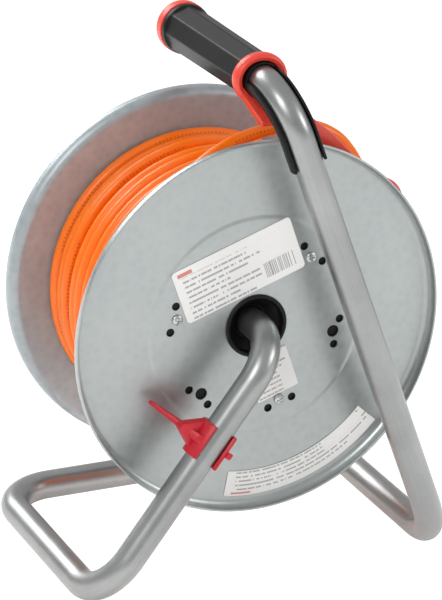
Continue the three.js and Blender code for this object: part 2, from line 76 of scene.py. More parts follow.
class Paint:
    # One material: a Principled shader with whatever is wired into it.
    def __init__(self, name, **constants):
        self.material = bpy.data.materials.new(name)
        self.material.use_nodes = True
        self.tree = self.material.node_tree
        self.shader = self.tree.nodes["Principled BSDF"]
        self.feed(**constants)

    def node(self, kind, settings=None, sockets=None, out=0):
        made = self.tree.nodes.new(kind)
        for key, value in (settings or {}).items():
            if key == "stops":
                ramp = made.color_ramp
                while len(ramp.elements) < len(value):
                    ramp.elements.new(0.5)
                for element, (place, colour) in zip(ramp.elements, value):
                    element.position, element.color = place, (*colour, 1)
            else:
                setattr(made, key, value)
        for key, value in (sockets or {}).items():
            if isinstance(value, Wire):
                self.tree.links.new(value.socket, made.inputs[key])
            else:
                made.inputs[key].default_value = value
        return Wire(self, made.outputs[out])

    def feed(self, **values):
        for key, value in values.items():
            socket = self.shader.inputs[shaderSockets[key]]
            if isinstance(value, Wire):
                self.tree.links.new(value.socket, socket)
            else:
                socket.default_value = asColour(value)
        return self

    def place(self, stretch=(1, 1, 1)):
        spot = self.node("ShaderNodeTexCoord", out=3)
        return self.node("ShaderNodeMapping", None, {"Vector": spot, "Scale": stretch})

    def along(self, stretch=(1, 1, 1)):
        spot = self.node("ShaderNodeUVMap", {"uv_map": "run"})
        return self.node("ShaderNodeMapping", None, {"Vector": spot, "Scale": stretch})

    def noise(self, where, scale, detail=3, rough=0.5):
        return self.node("ShaderNodeTexNoise", None,
                         {"Vector": where, "Scale": scale, "Detail": detail, "Roughness": rough})

    def ramp(self, value, *stops):
        return self.node("ShaderNodeValToRGB", {"stops": stops}, {0: value})

    def span(self, value, low, high, to0=0.0, to1=1.0):
        return self.node("ShaderNodeMapRange", None,
                         {"Value": value, "From Min": low, "From Max": high, "To Min": to0, "To Max": to1})

    def mix(self, amount, first, second):
        return self.node("ShaderNodeMix", {"data_type": "RGBA"},
                         {0: amount, 6: asColour(first), 7: asColour(second)}, 2)

    def maths(self, operation, first, second):
        return self.node("ShaderNodeMath", {"operation": operation}, {0: first, 1: second})

    def bump(self, height, strength, distance):
        return self.node("ShaderNodeBump", None,
                         {"Height": height, "Strength": strength, "Distance": distance})


# Mesh helpers
edgeAngle = math.radians(50)  # edges sharper than this are rounded
weldGap = 1e-6


def linked(name, mesh):
    piece = bpy.data.objects.new(name, mesh)
    bpy.context.scene.collection.objects.link(piece)
    return piece


def meshFrom(name, points, faces, runs=None, sharp=34):
    # Points are in millimetres and faces are arrays of indices. The summed volume of the corner tetrahedra
    # is negative where they point inwards, and then they are all turned over.
    points = np.asarray(points, float) * 0.001
    volume = 0.0
    for block in faces:
        first = points[block[:, 0]]
        for k in range(1, block.shape[1] - 1):
            cross = np.cross(points[block[:, k]], points[block[:, k + 1]])
            volume += float((first * cross).sum())
    if volume < 0:
        faces = [block[:, ::-1] for block in faces]
        runs = None if runs is None else [block[:, ::-1] for block in runs]
    mesh = bpy.data.meshes.new(name)
    mesh.vertices.add(len(points))
    mesh.vertices.foreach_set("co", points.ravel())
    corners = np.concatenate([block.ravel() for block in faces])
    sizes = np.concatenate([np.full(len(block), block.shape[1]) for block in faces])
    mesh.loops.add(len(corners))
    mesh.loops.foreach_set("vertex_index", corners.astype(np.int32))
    mesh.polygons.add(len(sizes))
    mesh.polygons.foreach_set("loop_start", np.r_[0, np.cumsum(sizes)[:-1]].astype(np.int32))
    mesh.polygons.foreach_set("loop_total", sizes.astype(np.int32))
    if runs is not None:
        layer = mesh.uv_layers.new(name="run")
        layer.data.foreach_set("uv", np.concatenate([block.reshape(-1, 2) for block in runs]).ravel())
    mesh.update(calc_edges=True)
    mesh.validate()
    mesh.shade_smooth()
    mesh.set_sharp_from_angle(angle=math.radians(sharp))
    return linked(name, mesh)


def surface(name, grid, ringRows=False, capped=True, travel=None, sharp=34):
    # A grid of points, rows along and columns round: columns close on themselves, and rows too with ringRows.
    rows, columns = grid.shape[:2]
    row = np.arange(rows if ringRows else rows - 1)[:, None]
    column = np.arange(columns)[None, :]
    nextRow, nextColumn = (row + 1) % rows, (column + 1) % columns
    corner = lambda r, c: (r * columns + c).ravel()
    quads = np.stack([corner(row, column), corner(row, nextColumn), corner(nextRow, nextColumn),
                      corner(nextRow, column)], 1)
    travel = np.linspace(0, 1, rows) if travel is None else travel
    travel = np.r_[travel, travel[-1] + (travel[-1] - travel[-2])]
    u = np.broadcast_to(column / columns, (len(row), columns))
    v0, v1 = travel[row] + 0 * u, travel[row + 1] + 0 * u
    step = 1 / columns
    runs = [np.stack([np.stack([u, v0], -1), np.stack([u + step, v0], -1), np.stack([u + step, v1], -1),
                      np.stack([u, v1], -1)], 2).reshape(-1, 4, 2)]
    faces = [quads]
    if capped and not ringRows:
        first = np.arange(columns)[None, ::-1]
        last = np.arange(columns)[None, :] + (rows - 1) * columns
        faces += [first, last]
        runs += [np.zeros((1, columns, 2)), np.zeros((1, columns, 2))]
    return meshFrom(name, grid.reshape(-1, 3), faces, runs, sharp)


def softened(outline, radius, steps=3, closed=True):
    # Each corner becomes a short parabola between points up to `radius` along its two sides.
    outline = np.asarray(outline, float)
    before, after = np.roll(outline, 1, 0), np.roll(outline, -1, 0)
    reach = lambda other: np.minimum(radius, 0.45 * np.linalg.norm(other - outline, axis=1))[:, None]
    unit = lambda other: (other - outline) / np.maximum(np.linalg.norm(other - outline, axis=1), 1e-9)[:, None]
    start = outline + unit(before) * reach(before)
    end = outline + unit(after) * reach(after)
    t = np.linspace(0, 1, steps + 1)[None, :, None]
    curve = (1 - t) ** 2 * start[:, None] + 2 * t * (1 - t) * outline[:, None] + t ** 2 * end[:, None]
    if not closed:
        curve[0], curve[-1] = outline[0], outline[-1]
    return curve.reshape(-1, 2)


def spun(profile, sides):
    # Each [radius, y] of the profile goes round Y: x = radius cos angle, z = radius sin angle.
    profile = np.asarray(profile, float)
    angle = np.linspace(0, 2 * math.pi, sides, endpoint=False)
    return np.stack([profile[:, :1] * np.cos(angle), profile[:, 1:] + 0 * angle,
                     profile[:, :1] * np.sin(angle)], -1)


def turned(name, profile, sides=96, at=(0, 0, 0), turn=None, soft=0.4, sharp=34):
    # A profile revolved about Y, with its corners softened; an outline that touches the axis is welded there.
    profile = np.asarray(profile, float)
    onAxis = (profile[:, 0] < 1e-6).any()
    if onAxis:  # open outline from axis to axis
        while profile[0, 0] > 1e-6 or profile[-1, 0] > 1e-6:
            profile = np.roll(profile, 1, 0)
    rounded = softened(profile, soft, 3, not onAxis) if soft else profile
    rounded[:, 0] = np.maximum(rounded[:, 0], 0)
    grid = spun(rounded, sides)
    if turn is not None:
        grid = grid @ np.array(turn).T
    piece = surface(name, grid + np.array(at, float), ringRows=not onAxis, capped=False, sharp=sharp)
    weld(piece)
    return piece


def weld(piece):
    # Merges doubled points and turns the faces outwards.
    shape = bmesh.new()
    shape.from_mesh(piece.data)
    bmesh.ops.remove_doubles(shape, verts=shape.verts, dist=weldGap)
    bmesh.ops.recalc_face_normals(shape, faces=shape.faces)
    shape.to_mesh(piece.data)
    shape.free()


def carried(path, sectionX, sectionY, upward):
    # A section along a path: point = path + sectionX times side + sectionY times up, and up keeps from twisting.
    path = np.asarray(path, float)
    tangent = np.gradient(path, axis=0)
    tangent /= np.linalg.norm(tangent, axis=1)[:, None]
    up = np.zeros_like(path)
    current = np.array(upward, float)
    for i, t in enumerate(tangent):  # one step per station of the path
        current = current - t * current.dot(t)
        current = current / np.linalg.norm(current)
        up[i] = current
    side = np.cross(tangent, up)
    return (path[:, None] + np.asarray(sectionX)[None, :, None] * side[:, None]
            + np.asarray(sectionY)[None, :, None] * up[:, None])


def pipe(name, path, radius, sides=32, upward=(0, 0, 1), sharp=34):
    # A round bar along a path; its run map holds the turn round it and the length along it in metres.
    angle = np.linspace(0, 2 * math.pi, sides, endpoint=False)
    grid = carried(path, radius * np.cos(angle), radius * np.sin(angle), upward)
    travel = np.r_[0, np.cumsum(np.linalg.norm(np.diff(path, axis=0), axis=1))] * 0.001
    return surface(name, grid, travel=travel, sharp=sharp)


def unitOf(vector):
    return vector / np.linalg.norm(vector)


def bentPath(corners, step=3.0, longest=12):
    # Straight runs joined by circular arcs. Each corner is a point and a bend radius, and the ends have no bend.
    points = [np.array(c[0], float) for c in corners]
    out = [points[0]]
    for i in range(1, len(points) - 1):
        before, after = unitOf(points[i] - points[i - 1]), unitOf(points[i + 1] - points[i])
        turn = math.acos(np.clip(before.dot(after), -1, 1))
        radius = corners[i][1]
        start = points[i] - before * radius * math.tan(turn / 2)
        inward = unitOf(after - before * before.dot(after))
        count = max(3, int(radius * turn / step))
        a = np.linspace(0, turn, count)[:, None]
        out += list(start + before * radius * np.sin(a) + inward * radius * (1 - np.cos(a)))
    out.append(points[-1])
    dense = []
    for a, b in zip(out[:-1], out[1:]):
        count = max(1, int(np.linalg.norm(b - a) / longest))
        dense += [a + (b - a) * k / count for k in range(count)]
    return np.array(dense + [out[-1]])


def roundEdges(piece, width, segments=3):
    edge = piece.modifiers.new("edge", "BEVEL")
    edge.width, edge.segments = width * 0.001, segments
    edge.limit_method, edge.angle_limit = "ANGLE", edgeAngle
    return piece


def slab(name, outline, thickness, turn=np.eye(3), at=(0, 0, 0), bevel=0.6, segments=3, sharp=34):
    # A flat outline given thickness along its own Z, with rounded edges.
    outline = np.asarray(outline, float)
    count = len(outline)
    low = np.c_[outline, np.full(count, -thickness / 2)]
    high = np.c_[outline, np.full(count, thickness / 2)]
    points = np.r_[low, high] @ np.array(turn).T + np.array(at, float)
    i = np.arange(count)
    j = (i + 1) % count
    sides = np.stack([i, j, j + count, i + count], 1)
    piece = meshFrom(name, points, [sides, i[None, ::-1], i[None, :] + count], None, sharp)
    return roundEdges(piece, bevel, segments) if bevel else piece


def applied(piece):
    # The piece with its modifiers worked into its mesh.
    bpy.context.view_layer.update()
    done = piece.evaluated_get(bpy.context.evaluated_depsgraph_get())
    mesh = bpy.data.meshes.new_from_object(done)
    piece.modifiers.clear()
    piece.data = mesh
    return piece


def smoothed(piece, degrees):
    # Smooth shading except across edges sharper than the angle.
    weld(piece)
    piece.data.shade_smooth()
    piece.data.set_sharp_from_angle(angle=math.radians(degrees))
    return piece


def carve(piece, cutters, join=False):
    # Cuts every cutter out of the piece, or joins it on, and drops the cutters.
    for cutter in cutters:
        step = piece.modifiers.new("carve", "BOOLEAN")
        step.operation, step.object, step.solver = ("UNION" if join else "DIFFERENCE"), cutter, "EXACT"
        applied(piece)
        bpy.data.objects.remove(cutter)
    return piece


def together(cutters):
    # Several separate cutters as one mesh.
    shape = bmesh.new()
    for cutter in cutters:
        shape.from_mesh(cutter.data)
        bpy.data.objects.remove(cutter)
    mesh = bpy.data.meshes.new("cutters")
    shape.to_mesh(mesh)
    shape.free()
    return linked("cutters", mesh)


def moved(piece, matrix):
    piece.data.transform(matrix)
    piece.data.update()
    return piece


def placed(piece, paint, body, slotName, *nodes):
    # Gives a piece its paint, the CAD nodes that it stands for and the body that carries it.
    piece.data.materials.clear()
    piece.data.materials.append(paint.material)
    if nodes:
        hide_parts(*nodes)
    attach(piece, body)
    return piece


def spot(radius, degrees):
    return radius * math.cos(math.radians(degrees)), radius * math.sin(math.radians(degrees))


def arc(radius, angles):
    # Points round the origin: (radius cos angle, radius sin angle).
    return np.stack([radius * np.cos(angles), radius * np.sin(angles)], 1)


# Camera, floor and light
view = {"azimuth": 156.036, "elevation": 21.159, "roll": 0.963, "distance": 2.47464, "lens": 197.21,
        "aim": (-0.0010241, -0.0029067), "shift": (0.0031, -0.0004)}


def setCamera():
    # The camera looks at the drum's axis from behind, a little above, with a slight roll.
    a, e = math.radians(view["azimuth"]), math.radians(view["elevation"])
    back = Vector((math.sin(a) * math.cos(e), -math.cos(a) * math.cos(e), math.sin(e)))
    right = (-back).cross(Vector((0, 0, 1))).normalized()
    up = right.cross(-back)
    r = math.radians(view["roll"])
    right, up = right * math.cos(r) + up * math.sin(r), up * math.cos(r) - right * math.sin(r)
    aim = right * view["aim"][0] + up * view["aim"][1] + Vector((0, 0, axisHeight * 0.001))
    data = bpy.data.cameras.new("camera")
    data.lens, data.sensor_width = view["lens"], 36
    data.shift_x, data.shift_y = view["shift"]
    data.clip_start, data.clip_end = 0.05, 50
    camera = bpy.data.objects.new("camera", data)
    turn = Matrix((right, up, back)).transposed()
    camera.matrix_world = Matrix.Translation(aim + back * view["distance"]) @ turn.to_4x4()
    bpy.context.scene.collection.objects.link(camera)
    bpy.context.scene.camera = camera


studio = {"floorColour": (0.95, 0.95, 0.95), "floorGlow": 0.3, "floorWhite": 1.2,
          "floorReach": 6000, "floorDrop": 0.6,
          "sky": [(0.0, (0.30, 0.30, 0.31)), (0.46, (0.42, 0.42, 0.43)), (0.56, (0.95, 0.95, 0.96)),
                  (1.0, (1.15, 1.15, 1.15))],
          "skyPower": 0.54, "aim": (0, 0, 0.2)}
lamps = [  # name, place, size and power
    ("keyLamp", (1.9, 1.5, 2.3), 1.3, 30),
    ("sideLamp", (-2.2, 1.4, 1.3), 0.9, 16),
    ("frontLamp", (0.9, -2.0, 1.9), 1.6, 48),
]


def setSky(scene):
    # Bright overhead and dim towards the floor, so that bent metal shows light and dark bands.
    scene.world = bpy.data.worlds.new("studio")
    scene.world.use_nodes = True
    tree = scene.world.node_tree
    link = tree.links.new
    place = tree.nodes.new("ShaderNodeTexCoord")
    split = tree.nodes.new("ShaderNodeSeparateXYZ")
    height = tree.nodes.new("ShaderNodeMapRange")
    height.inputs["From Min"].default_value = -1
    shades = tree.nodes.new("ShaderNodeValToRGB")
    while len(shades.color_ramp.elements) < len(studio["sky"]):
        shades.color_ramp.elements.new(0.5)
    for element, (stop, colour) in zip(shades.color_ramp.elements, studio["sky"]):
        element.position, element.color = stop, (*colour, 1)
    link(place.outputs["Generated"], split.inputs[0])
    link(split.outputs["Z"], height.inputs["Value"])
    link(height.outputs[0], shades.inputs[0])
    back = tree.nodes["Background"]
    link(shades.outputs[0], back.inputs["Color"])
    back.inputs["Strength"].default_value = studio["skyPower"]


def setStudio():
    scene = bpy.context.scene
    scene.view_settings.view_transform = "Standard"
    setSky(scene)
    for name, place, size, power in lamps:
        data = bpy.data.lights.new(name, "AREA")
        data.size, data.energy = size, power
        lamp = bpy.data.objects.new(name, data)
        aim = Vector(studio["aim"]) - Vector(place)
        lamp.location, lamp.rotation_euler = place, aim.to_track_quat("-Z", "Y").to_euler()
        scene.collection.objects.link(lamp)
    floorPaint = Paint("floorPaint", rough=0.9, specular=0.05, glowPower=studio["floorGlow"])
    shade = floorPaint.noise(floorPaint.place(), 3.0)
    tint = floorPaint.mix(shade, tuple(c * 0.985 for c in studio["floorColour"]), studio["floorColour"])
    floorPaint.feed(base=tint, glow=tint)
    seen = floorPaint.node("ShaderNodeLightPath")  # plain white where it is looked at, a dim floor for the light
    white = floorPaint.node("ShaderNodeEmission", None, {"Strength": studio["floorWhite"]})
    body = Wire(floorPaint, floorPaint.shader.outputs[0])
    cover = floorPaint.node("ShaderNodeMixShader", None, {0: seen, 1: body, 2: white})
    floorPaint.tree.links.new(cover.socket, floorPaint.tree.nodes["Material Output"].inputs[0])
    reach, drop = studio["floorReach"], -studio["floorDrop"]
    corners = [[-reach, -reach, drop], [reach, -reach, drop], [reach, reach, drop], [-reach, reach, drop]]
    floor = meshFrom("floor", corners, [np.array([[0, 1, 2, 3]])])
    floor.data.materials.append(floorPaint.material)


setCamera()
setStudio()
print("camera and studio set")


# Finishes
labels = {"tilt": -19.4, "depth": 0.3, "plate": 65.3, "step": 64.7,  # place, width, height and corner of the cards
          "rating": (14.9, 45.7, 99, 43, 3.0), "notice": (-13.6, -40.6, 34.5, 34.5, 1.0),
          "curved": (116, 136, -138, -80)}  # inner and outer radius, and the angles that it runs between


def galvanisedSheet(name, metal, dark, mid, light, rough):
    # Grey zinc: broad clouds, soft spangle cells, fine grain and a few thin rub marks.
    paint = Paint(name, metal=metal)
    where = paint.place()
    clouds = paint.noise(where, 9.0, 4, 0.55)
    cells = paint.node("ShaderNodeTexVoronoi", None, {"Vector": where, "Scale": 150.0}, 0)
    grain = paint.noise(where, 900.0, 2)
    rubs = paint.noise(paint.place((26, 400, 120)), 1.6, 2, 0.6)
    level = clouds * 0.62 + paint.span(cells, 0, 0.7) * 0.16 + grain * 0.14 + rubs * 0.08
    paint.feed(base=paint.ramp(level, (0.22, dark), (0.5, mid), (0.78, light)),
               rough=paint.span(level, 0.2, 0.8, rough - 0.05, rough + 0.12))
    return paint.feed(normal=paint.bump(cells * 0.4 + grain * 0.6, 0.10, 0.0006))


def satinTube():
    # Drawn galvanised tube: streaks along its length, cloudy patches, fine grain.
    paint = Paint("satinTube", metal=0.93)
    streaks = paint.noise(paint.along((260, 5, 1)), 1.0, 4, 0.6)
    clouds = paint.noise(paint.place(), 28.0, 3)
    grain = paint.noise(paint.place(), 1300.0, 2)
    level = streaks * 0.4 + clouds * 0.4 + grain * 0.2
    tone = paint.ramp(level, (0.25, (0.26, 0.268, 0.266)), (0.55, (0.38, 0.39, 0.385)),
                      (0.8, (0.52, 0.525, 0.515)))
    paint.feed(base=tone, rough=paint.span(level, 0.2, 0.8, 0.27, 0.42))
    return paint.feed(normal=paint.bump(level, 0.12, 0.0004))


def printed(name, rows, fill, barBlock=False, flat=None, bent=None):
    # A printed card: off-white paper, rows of grey bars of uneven length, a bar block and a plain red strip.
    # u and v run from 0 to 1 across and up the card, which is flat or bent round the drum's axis.
    paint = Paint(name, rough=0.55, specular=0.3)
    where = paint.node("ShaderNodeTexCoord", out=3)
    axis = lambda vector, k: paint.node("ShaderNodeSeparateXYZ", None, {0: vector}, k)
    if bent:  # u follows the angle, and v the distance from the axis
        inner, outer, low, high = bent[0] * 0.001, bent[1] * 0.001, math.radians(bent[2]), math.radians(bent[3])
        x, z = axis(where, 0), axis(where, 2) - axisHeight * 0.001
        u = 1 - (paint.maths("ARCTAN2", z, x) - low) / (high - low)
        v = ((x * x + z * z) ** 0.5 - inner) / (outer - inner)
    else:
        x, z, width, height = (k * 0.001 for k in flat[:4])
        local = paint.node("ShaderNodeMapping", {"vector_type": "TEXTURE"},
                           {"Vector": where, "Location": (x, labels["plate"] * 0.001, z + axisHeight * 0.001),
                            "Rotation": (0, -math.radians(labels["tilt"]), 0), "Scale": (-width, 1, height)})
        u, v = axis(local, 0) + 0.5, axis(local, 2) + 0.5
    row = paint.maths("FLOOR", v * rows, 0)
    inRow = (v * rows) % 1
    seed = paint.node("ShaderNodeTexWhiteNoise", {"noise_dimensions": "1D"}, {"W": row}, 0)
    words = paint.noise(paint.node("ShaderNodeCombineXYZ", None, {0: u * 46, 1: row * 7.3}), 1.0, 1)
    bars = (inRow > 0.3) * (inRow < 0.68) * (words > 0.44) * (u < seed * 0.3 + fill) * (u > 0.06)
    lines = paint.noise(paint.node("ShaderNodeCombineXYZ", None, {0: u * 160, 1: 3.0}), 1.0, 0)
    block = (lines > 0.5) * (u > 0.68) * (u < 0.94) * (v > 0.12) * (v < 0.4)
    clear = 1 - (u > 0.66) * (u < 0.96) * (v < 0.44)
    strip = (u > 0.04) * (u < 0.16) * (v > 0.86) * (v < 0.93)
    speckle = paint.noise(paint.place(), 700.0, 2)
    cardTone = paint.mix(speckle, (0.80, 0.79, 0.77), (0.90, 0.89, 0.87))
    inked = paint.mix(bars * clear * (v < 0.84) * 0.62, cardTone, (0.16, 0.16, 0.17))
    if barBlock:
        inked = paint.mix(block * 0.7, inked, (0.10, 0.10, 0.11))
    inked = paint.mix(strip * 0.8, inked, (0.62, 0.09, 0.07))
    return paint.feed(base=inked, rough=paint.span(speckle, 0.2, 0.8, 0.48, 0.62),
                      normal=paint.bump(speckle, 0.05, 0.0001))


def moulded(name, colour, rough, grainScale, texture, coat=0.0, specular=0.5):
    # Moulded plastic: slight colour drift, fine spark-eroded grain in the bump and the roughness.
    paint = Paint(name, coatRough=0.25, specular=specular)
    where = paint.place()
    drift = paint.noise(where, 22.0, 3)
    grain = paint.noise(where, grainScale, 2)
    dark = tuple(c * 0.86 for c in colour)
    light = tuple(min(1, c * 1.08 + 0.004) for c in colour)
    paint.feed(base=paint.mix(drift * 0.7 + grain * 0.3, dark, light),
               rough=paint.span(drift * 0.5 + grain * 0.5, 0.2, 0.8, rough - 0.06, rough + 0.1))
    if coat:
        paint.feed(coat=coat)
    return paint.feed(normal=paint.bump(grain, texture, 0.0003))


def jacket():
    # Cord sheath: soft gloss, faint mottling, slight scuffs and a dashed line of ink along one side.
    paint = Paint("cordJacket", coat=0.2, coatRough=0.14, specular=0.3)
    where = paint.place()
    mottle = paint.noise(where, 60.0, 3)
    scuff = paint.noise(paint.along((9, 45, 1)), 1.0, 4, 0.7)
    tone = paint.mix(mottle * 0.6 + scuff * 0.4, (0.90, 0.135, 0.003), (1.0, 0.225, 0.006))
    run = paint.node("ShaderNodeSeparateXYZ", None, {0: paint.along()}, 0)
    length = paint.node("ShaderNodeSeparateXYZ", None, {0: paint.along()}, 1)
    band = ((run - 0.25) % 1 < 0.07)
    dashes = ((length * 330) % 1 < 0.55) * ((length * 9.0) % 1 < 0.55)
    wornInk = paint.span(paint.noise(paint.along((60, 700, 1)), 1.0, 2), 0.42, 0.55)
    ink = band * dashes * wornInk * 0.55
    paint.feed(base=paint.mix(ink, tone, (0.16, 0.05, 0.02)),
               rough=paint.span(scuff, 0.2, 0.8, 0.24, 0.4))
    return paint.feed(normal=paint.bump(mottle * 0.5 + scuff * 0.5, 0.08, 0.0004))


def brightZinc(colour=(0.62, 0.63, 0.63), rough=0.28):
    # Plated steel of the screws, pins and washers: faint stains over a fine grain.
    paint = Paint("brightZinc", metal=0.95)
    where = paint.place()
    stain = paint.noise(where, 240.0, 3)
    fine = paint.noise(where, 1800.0, 2)
    paint.feed(base=paint.mix(stain, tuple(c * 0.8 for c in colour), colour),
               rough=paint.span(fine, 0.2, 0.8, rough - 0.05, rough + 0.1))
    return paint.feed(normal=paint.bump(stain * 0.5 + fine * 0.5, 0.12, 0.0002))


sheetPaint = galvanisedSheet("nearSheet", 0.75, (0.35, 0.375, 0.372), (0.42, 0.45, 0.444), (0.49, 0.52, 0.51), 0.3)
# Painted light and painted reflection: the far flange gets a copy of the same zinc that is less metallic, cooler and
# lighter, so that it looks lit as it does and the orange reflection of the cord in it is cancelled.
relitFarPaint = galvanisedSheet("farSheet", 0.4, (0.28, 0.315, 0.325), (0.37, 0.415, 0.43), (0.48, 0.53, 0.545), 0.34)
tubePaint = satinTube()
zincPaint = brightZinc()
# Moulded: colour, roughness, fineness of the grain, its depth, coat and specular level
blackPaint = moulded("blackPlastic", (0.005, 0.0045, 0.0042), 0.4, 1500.0, 0.2, 0.0, 0.22)
gripPaint = moulded("gripRubber", (0.006, 0.006, 0.0065), 0.36, 1100.0, 0.3, 0.0, 0.18)
redPaint = moulded("redPlastic", (0.80, 0.055, 0.028), 0.36, 1500.0, 0.1, 0.15)
brakePaint = moulded("brakeRed", (0.53, 0.009, 0.022), 0.33, 1500.0, 0.08, 0.12, 0.35)
plugPaint = moulded("plugRed", (0.60, 0.03, 0.045), 0.42, 1300.0, 0.2)
flapPaint = moulded("flapPlastic", (0.010, 0.0095, 0.009), 0.42, 1300.0, 0.3, 0.0, 0.35)
ratingPaint = printed("ratingCard", 10, 0.42, True, flat=labels["rating"])
noticePaint = printed("noticeCard", 9, 0.62, flat=labels["notice"])
curvedPaint = printed("curvedCard", 6, 0.8, bent=labels["curved"])
lampPaint = moulded("lampLens", (0.8, 0.8, 0.72), 0.2, 900.0, 0.05, 0.4)
cordPaint = jacket()
print("finishes made")


# Cord: the winding, which turns with the drum, and the tail, which stays with the frame
cord = {"radius": 4.85, "innerTurn": 77.1, "layerStep": 8.32, "fullLayers": 4, "turnsPerLayer": 13, "pitch": 9.58,
        "stepsPerTurn": 60, "sides": 12, "startAngle": 276.0,
        "outerTurns": [-57.2, -46.4, -36.2, -20.6, -9.4, 1.6, 12.8], "shift": 0.45,
        "laneY": 24.0, "laneRadius": 110.2, "tailSides": 24, "tailStart": -80.0, "laneEnd": 58.1, "tailStep": 11.5,
        "offLane": [(64, 111.4, 24), (70, 114.6, 24), (76, 118.8, 23.6), (83, 123.6, 21.6), (90, 128, 19),
                    (97, 132.8, 17.5), (104, 138.4, 17), (111, 143.8, 17), (118, 147.6, 17), (125, 148, 17),
                    (131, 145.2, 17), (136.5, 141.6, 17)],  # angle, radius and y on the way to the plug
        "intoPlug": (-107.85, 17, 87.76)}


def eased(t):
    return t * t * (3 - 2 * t)


def windingRadii():
    # Full layers: the height runs evenly from side to side, then one turn climbs to the next layer.
    # Part layer: each turn keeps its height, then slides over to the next one in its last part.
    half = (cord["turnsPerLayer"] - 1) * cord["pitch"] / 2
    count = cord["stepsPerTurn"]
    radii, heights = [], []
    for layer in range(cord["fullLayers"]):
        t = np.linspace(0, cord["turnsPerLayer"] - 1, (cord["turnsPerLayer"] - 1) * count, endpoint=False)
        y = -half + t * cord["pitch"]
        r = np.full_like(t, cord["innerTurn"] + layer * cord["layerStep"])
        climb = eased(np.linspace(0, 1, count, endpoint=False))
        radii += [r, r[-1] + climb * cord["layerStep"]]
        heights += [y if layer % 2 == 0 else -y, np.full(count, half if layer % 2 == 0 else -half)]
    outer = cord["innerTurn"] + cord["fullLayers"] * cord["layerStep"]
    places = cord["outerTurns"]
    last = []
    for k, y in enumerate(places):
        following = places[k + 1] if k + 1 < len(places) else y
        t = np.linspace(0, 1, count, endpoint=False)
        last.append(y + (following - y) * eased(np.clip((t - 1 + cord["shift"]) / cord["shift"], 0, 1)))
    heights.append(np.concatenate(last))
    turnsOut = np.arange(len(places) * count) / count
    lift = 0.55 * np.sin(turnsOut * 2.9 + 0.4) - 0.55 + 0.5 * np.sin(turnsOut * 2 * math.pi * 0.5)
    radii.append(outer + np.minimum(lift, 0.1))
    return np.concatenate(radii), np.concatenate(heights)


def windingPath():
    # Each station goes round the axis at its radius and height, and wanders a little sideways.
    radii, heights = windingRadii()
    angle = math.radians(cord["startAngle"]) + np.arange(len(radii)) * 2 * math.pi / cord["stepsPerTurn"]
    wander = 0.22 * np.sin(angle * 0.37) + 0.16 * np.sin(angle * 1.31 + 1)
    return np.stack([radii * np.cos(angle), heights + wander, radii * np.sin(angle) + axisHeight], 1)


def tailPath():
    # Round the free lane of the last layer, over the top and away from the drum to the plug.
    inLane = np.arange(cord["tailStart"], cord["laneEnd"], cord["tailStep"])
    route = [(d, cord["laneRadius"], cord["laneY"]) for d in inLane] + cord["offLane"]
    points = [(spot(r, d)[0], y, spot(r, d)[1] + axisHeight) for d, r, y in route]
    x, y, z = cord["intoPlug"]
    return smoothThrough(np.array(points + [(x, y, z + axisHeight)]), 6)


def smoothThrough(points, between):
    # Catmull-Rom through the points, `between` steps to each pair.
    ends = np.r_[[2 * points[0] - points[1]], points, [2 * points[-1] - points[-2]]]
    t = np.linspace(0, 1, between, endpoint=False)[None, :, None]
    a, b, c, d = (ends[k:len(ends) - 3 + k][:, None] for k in range(4))
    curve = 0.5 * (2 * b + (c - a) * t + (2 * a - 5 * b + 4 * c - d) * t ** 2
                   + (3 * b - a - 3 * c + d) * t ** 3)
    return np.r_[curve.reshape(-1, 3), points[-1:]]


def lengthOf(path):
    return float(np.linalg.norm(np.diff(path, axis=0), axis=1).sum()) * 0.001


windingLine = windingPath()
woundPiece = pipe("woundCord", windingLine, cord["radius"], cord["sides"], (0, 1, 0), 60)
placed(woundPiece, cordPaint, "drum", "orange_cord", "cord_winding")
tailLine = tailPath()
tailPiece = pipe("cordTail", tailLine, cord["radius"], cord["tailSides"], (0, 1, 0), 60)
placed(tailPiece, cordPaint, "frame", "orange_cord", "cord_tail")
print("cords made")


# Frame tube
tube = {"radius": 11.0, "halfWidth": 139.0, "halfDepth": 105.0, "corner": 384.0, "slope": 0.3,
        "footBend": 40.0, "hubBend": 34.0, "topBend": 37.0, "stubEnd": -56.0, "handleEnd": -80.0}
rise = math.tan(math.radians(tube["slope"]))
gripHeight = tube["corner"] - tube["halfDepth"] * rise
onGripLine = lambda y: gripHeight + y * rise


def makeTube():
    # Hub stub, leg, three bars on the floor, diagonal and handle: a circle carried along one bent line.
    w, d, g = tube["halfWidth"], tube["halfDepth"], tube["radius"]
    path = bentPath([
        ((0, tube["stubEnd"], axisHeight), 0), ((0, d, axisHeight), tube["hubBend"]), ((w, d, g), tube["footBend"]),
        ((w, -d, g), tube["footBend"]), ((-w, -d, g), tube["footBend"]), ((-w, d, g), tube["footBend"]),
        ((0, d, tube["corner"]), tube["topBend"]), ((0, tube["handleEnd"], onGripLine(tube["handleEnd"])), 0)], 2.0)
    piece = pipe("bentTube", path, tube["radius"], 56, (0, 0, 1), 60)
    placed(piece, tubePaint, "frame", "tube_steel", "frame_tube")


makeTube()
print("tube made")


# Flanges
flange = {"radius": 145.0, "plate": 65.0, "rim": 74.0, "sheet": 1.0, "lipBend": 7.0, "step": (82.0, 86.5),
          "stepDepth": 0.6, "bore": 22.6, "panelHole": 69.2, "sides": 288,
          "screwCircle": 64.5, "rearScrews": (12, 132, 252), "panelScrews": (30, 150, 270), "vents": (192, 312),
          "screwHole": 2.3, "ventHole": 4.7, "sideCircle": 68.5, "sideAngle": 8.5, "sideHole": 3.2,
          "knobHole": (4.4, 123.0, 150)}


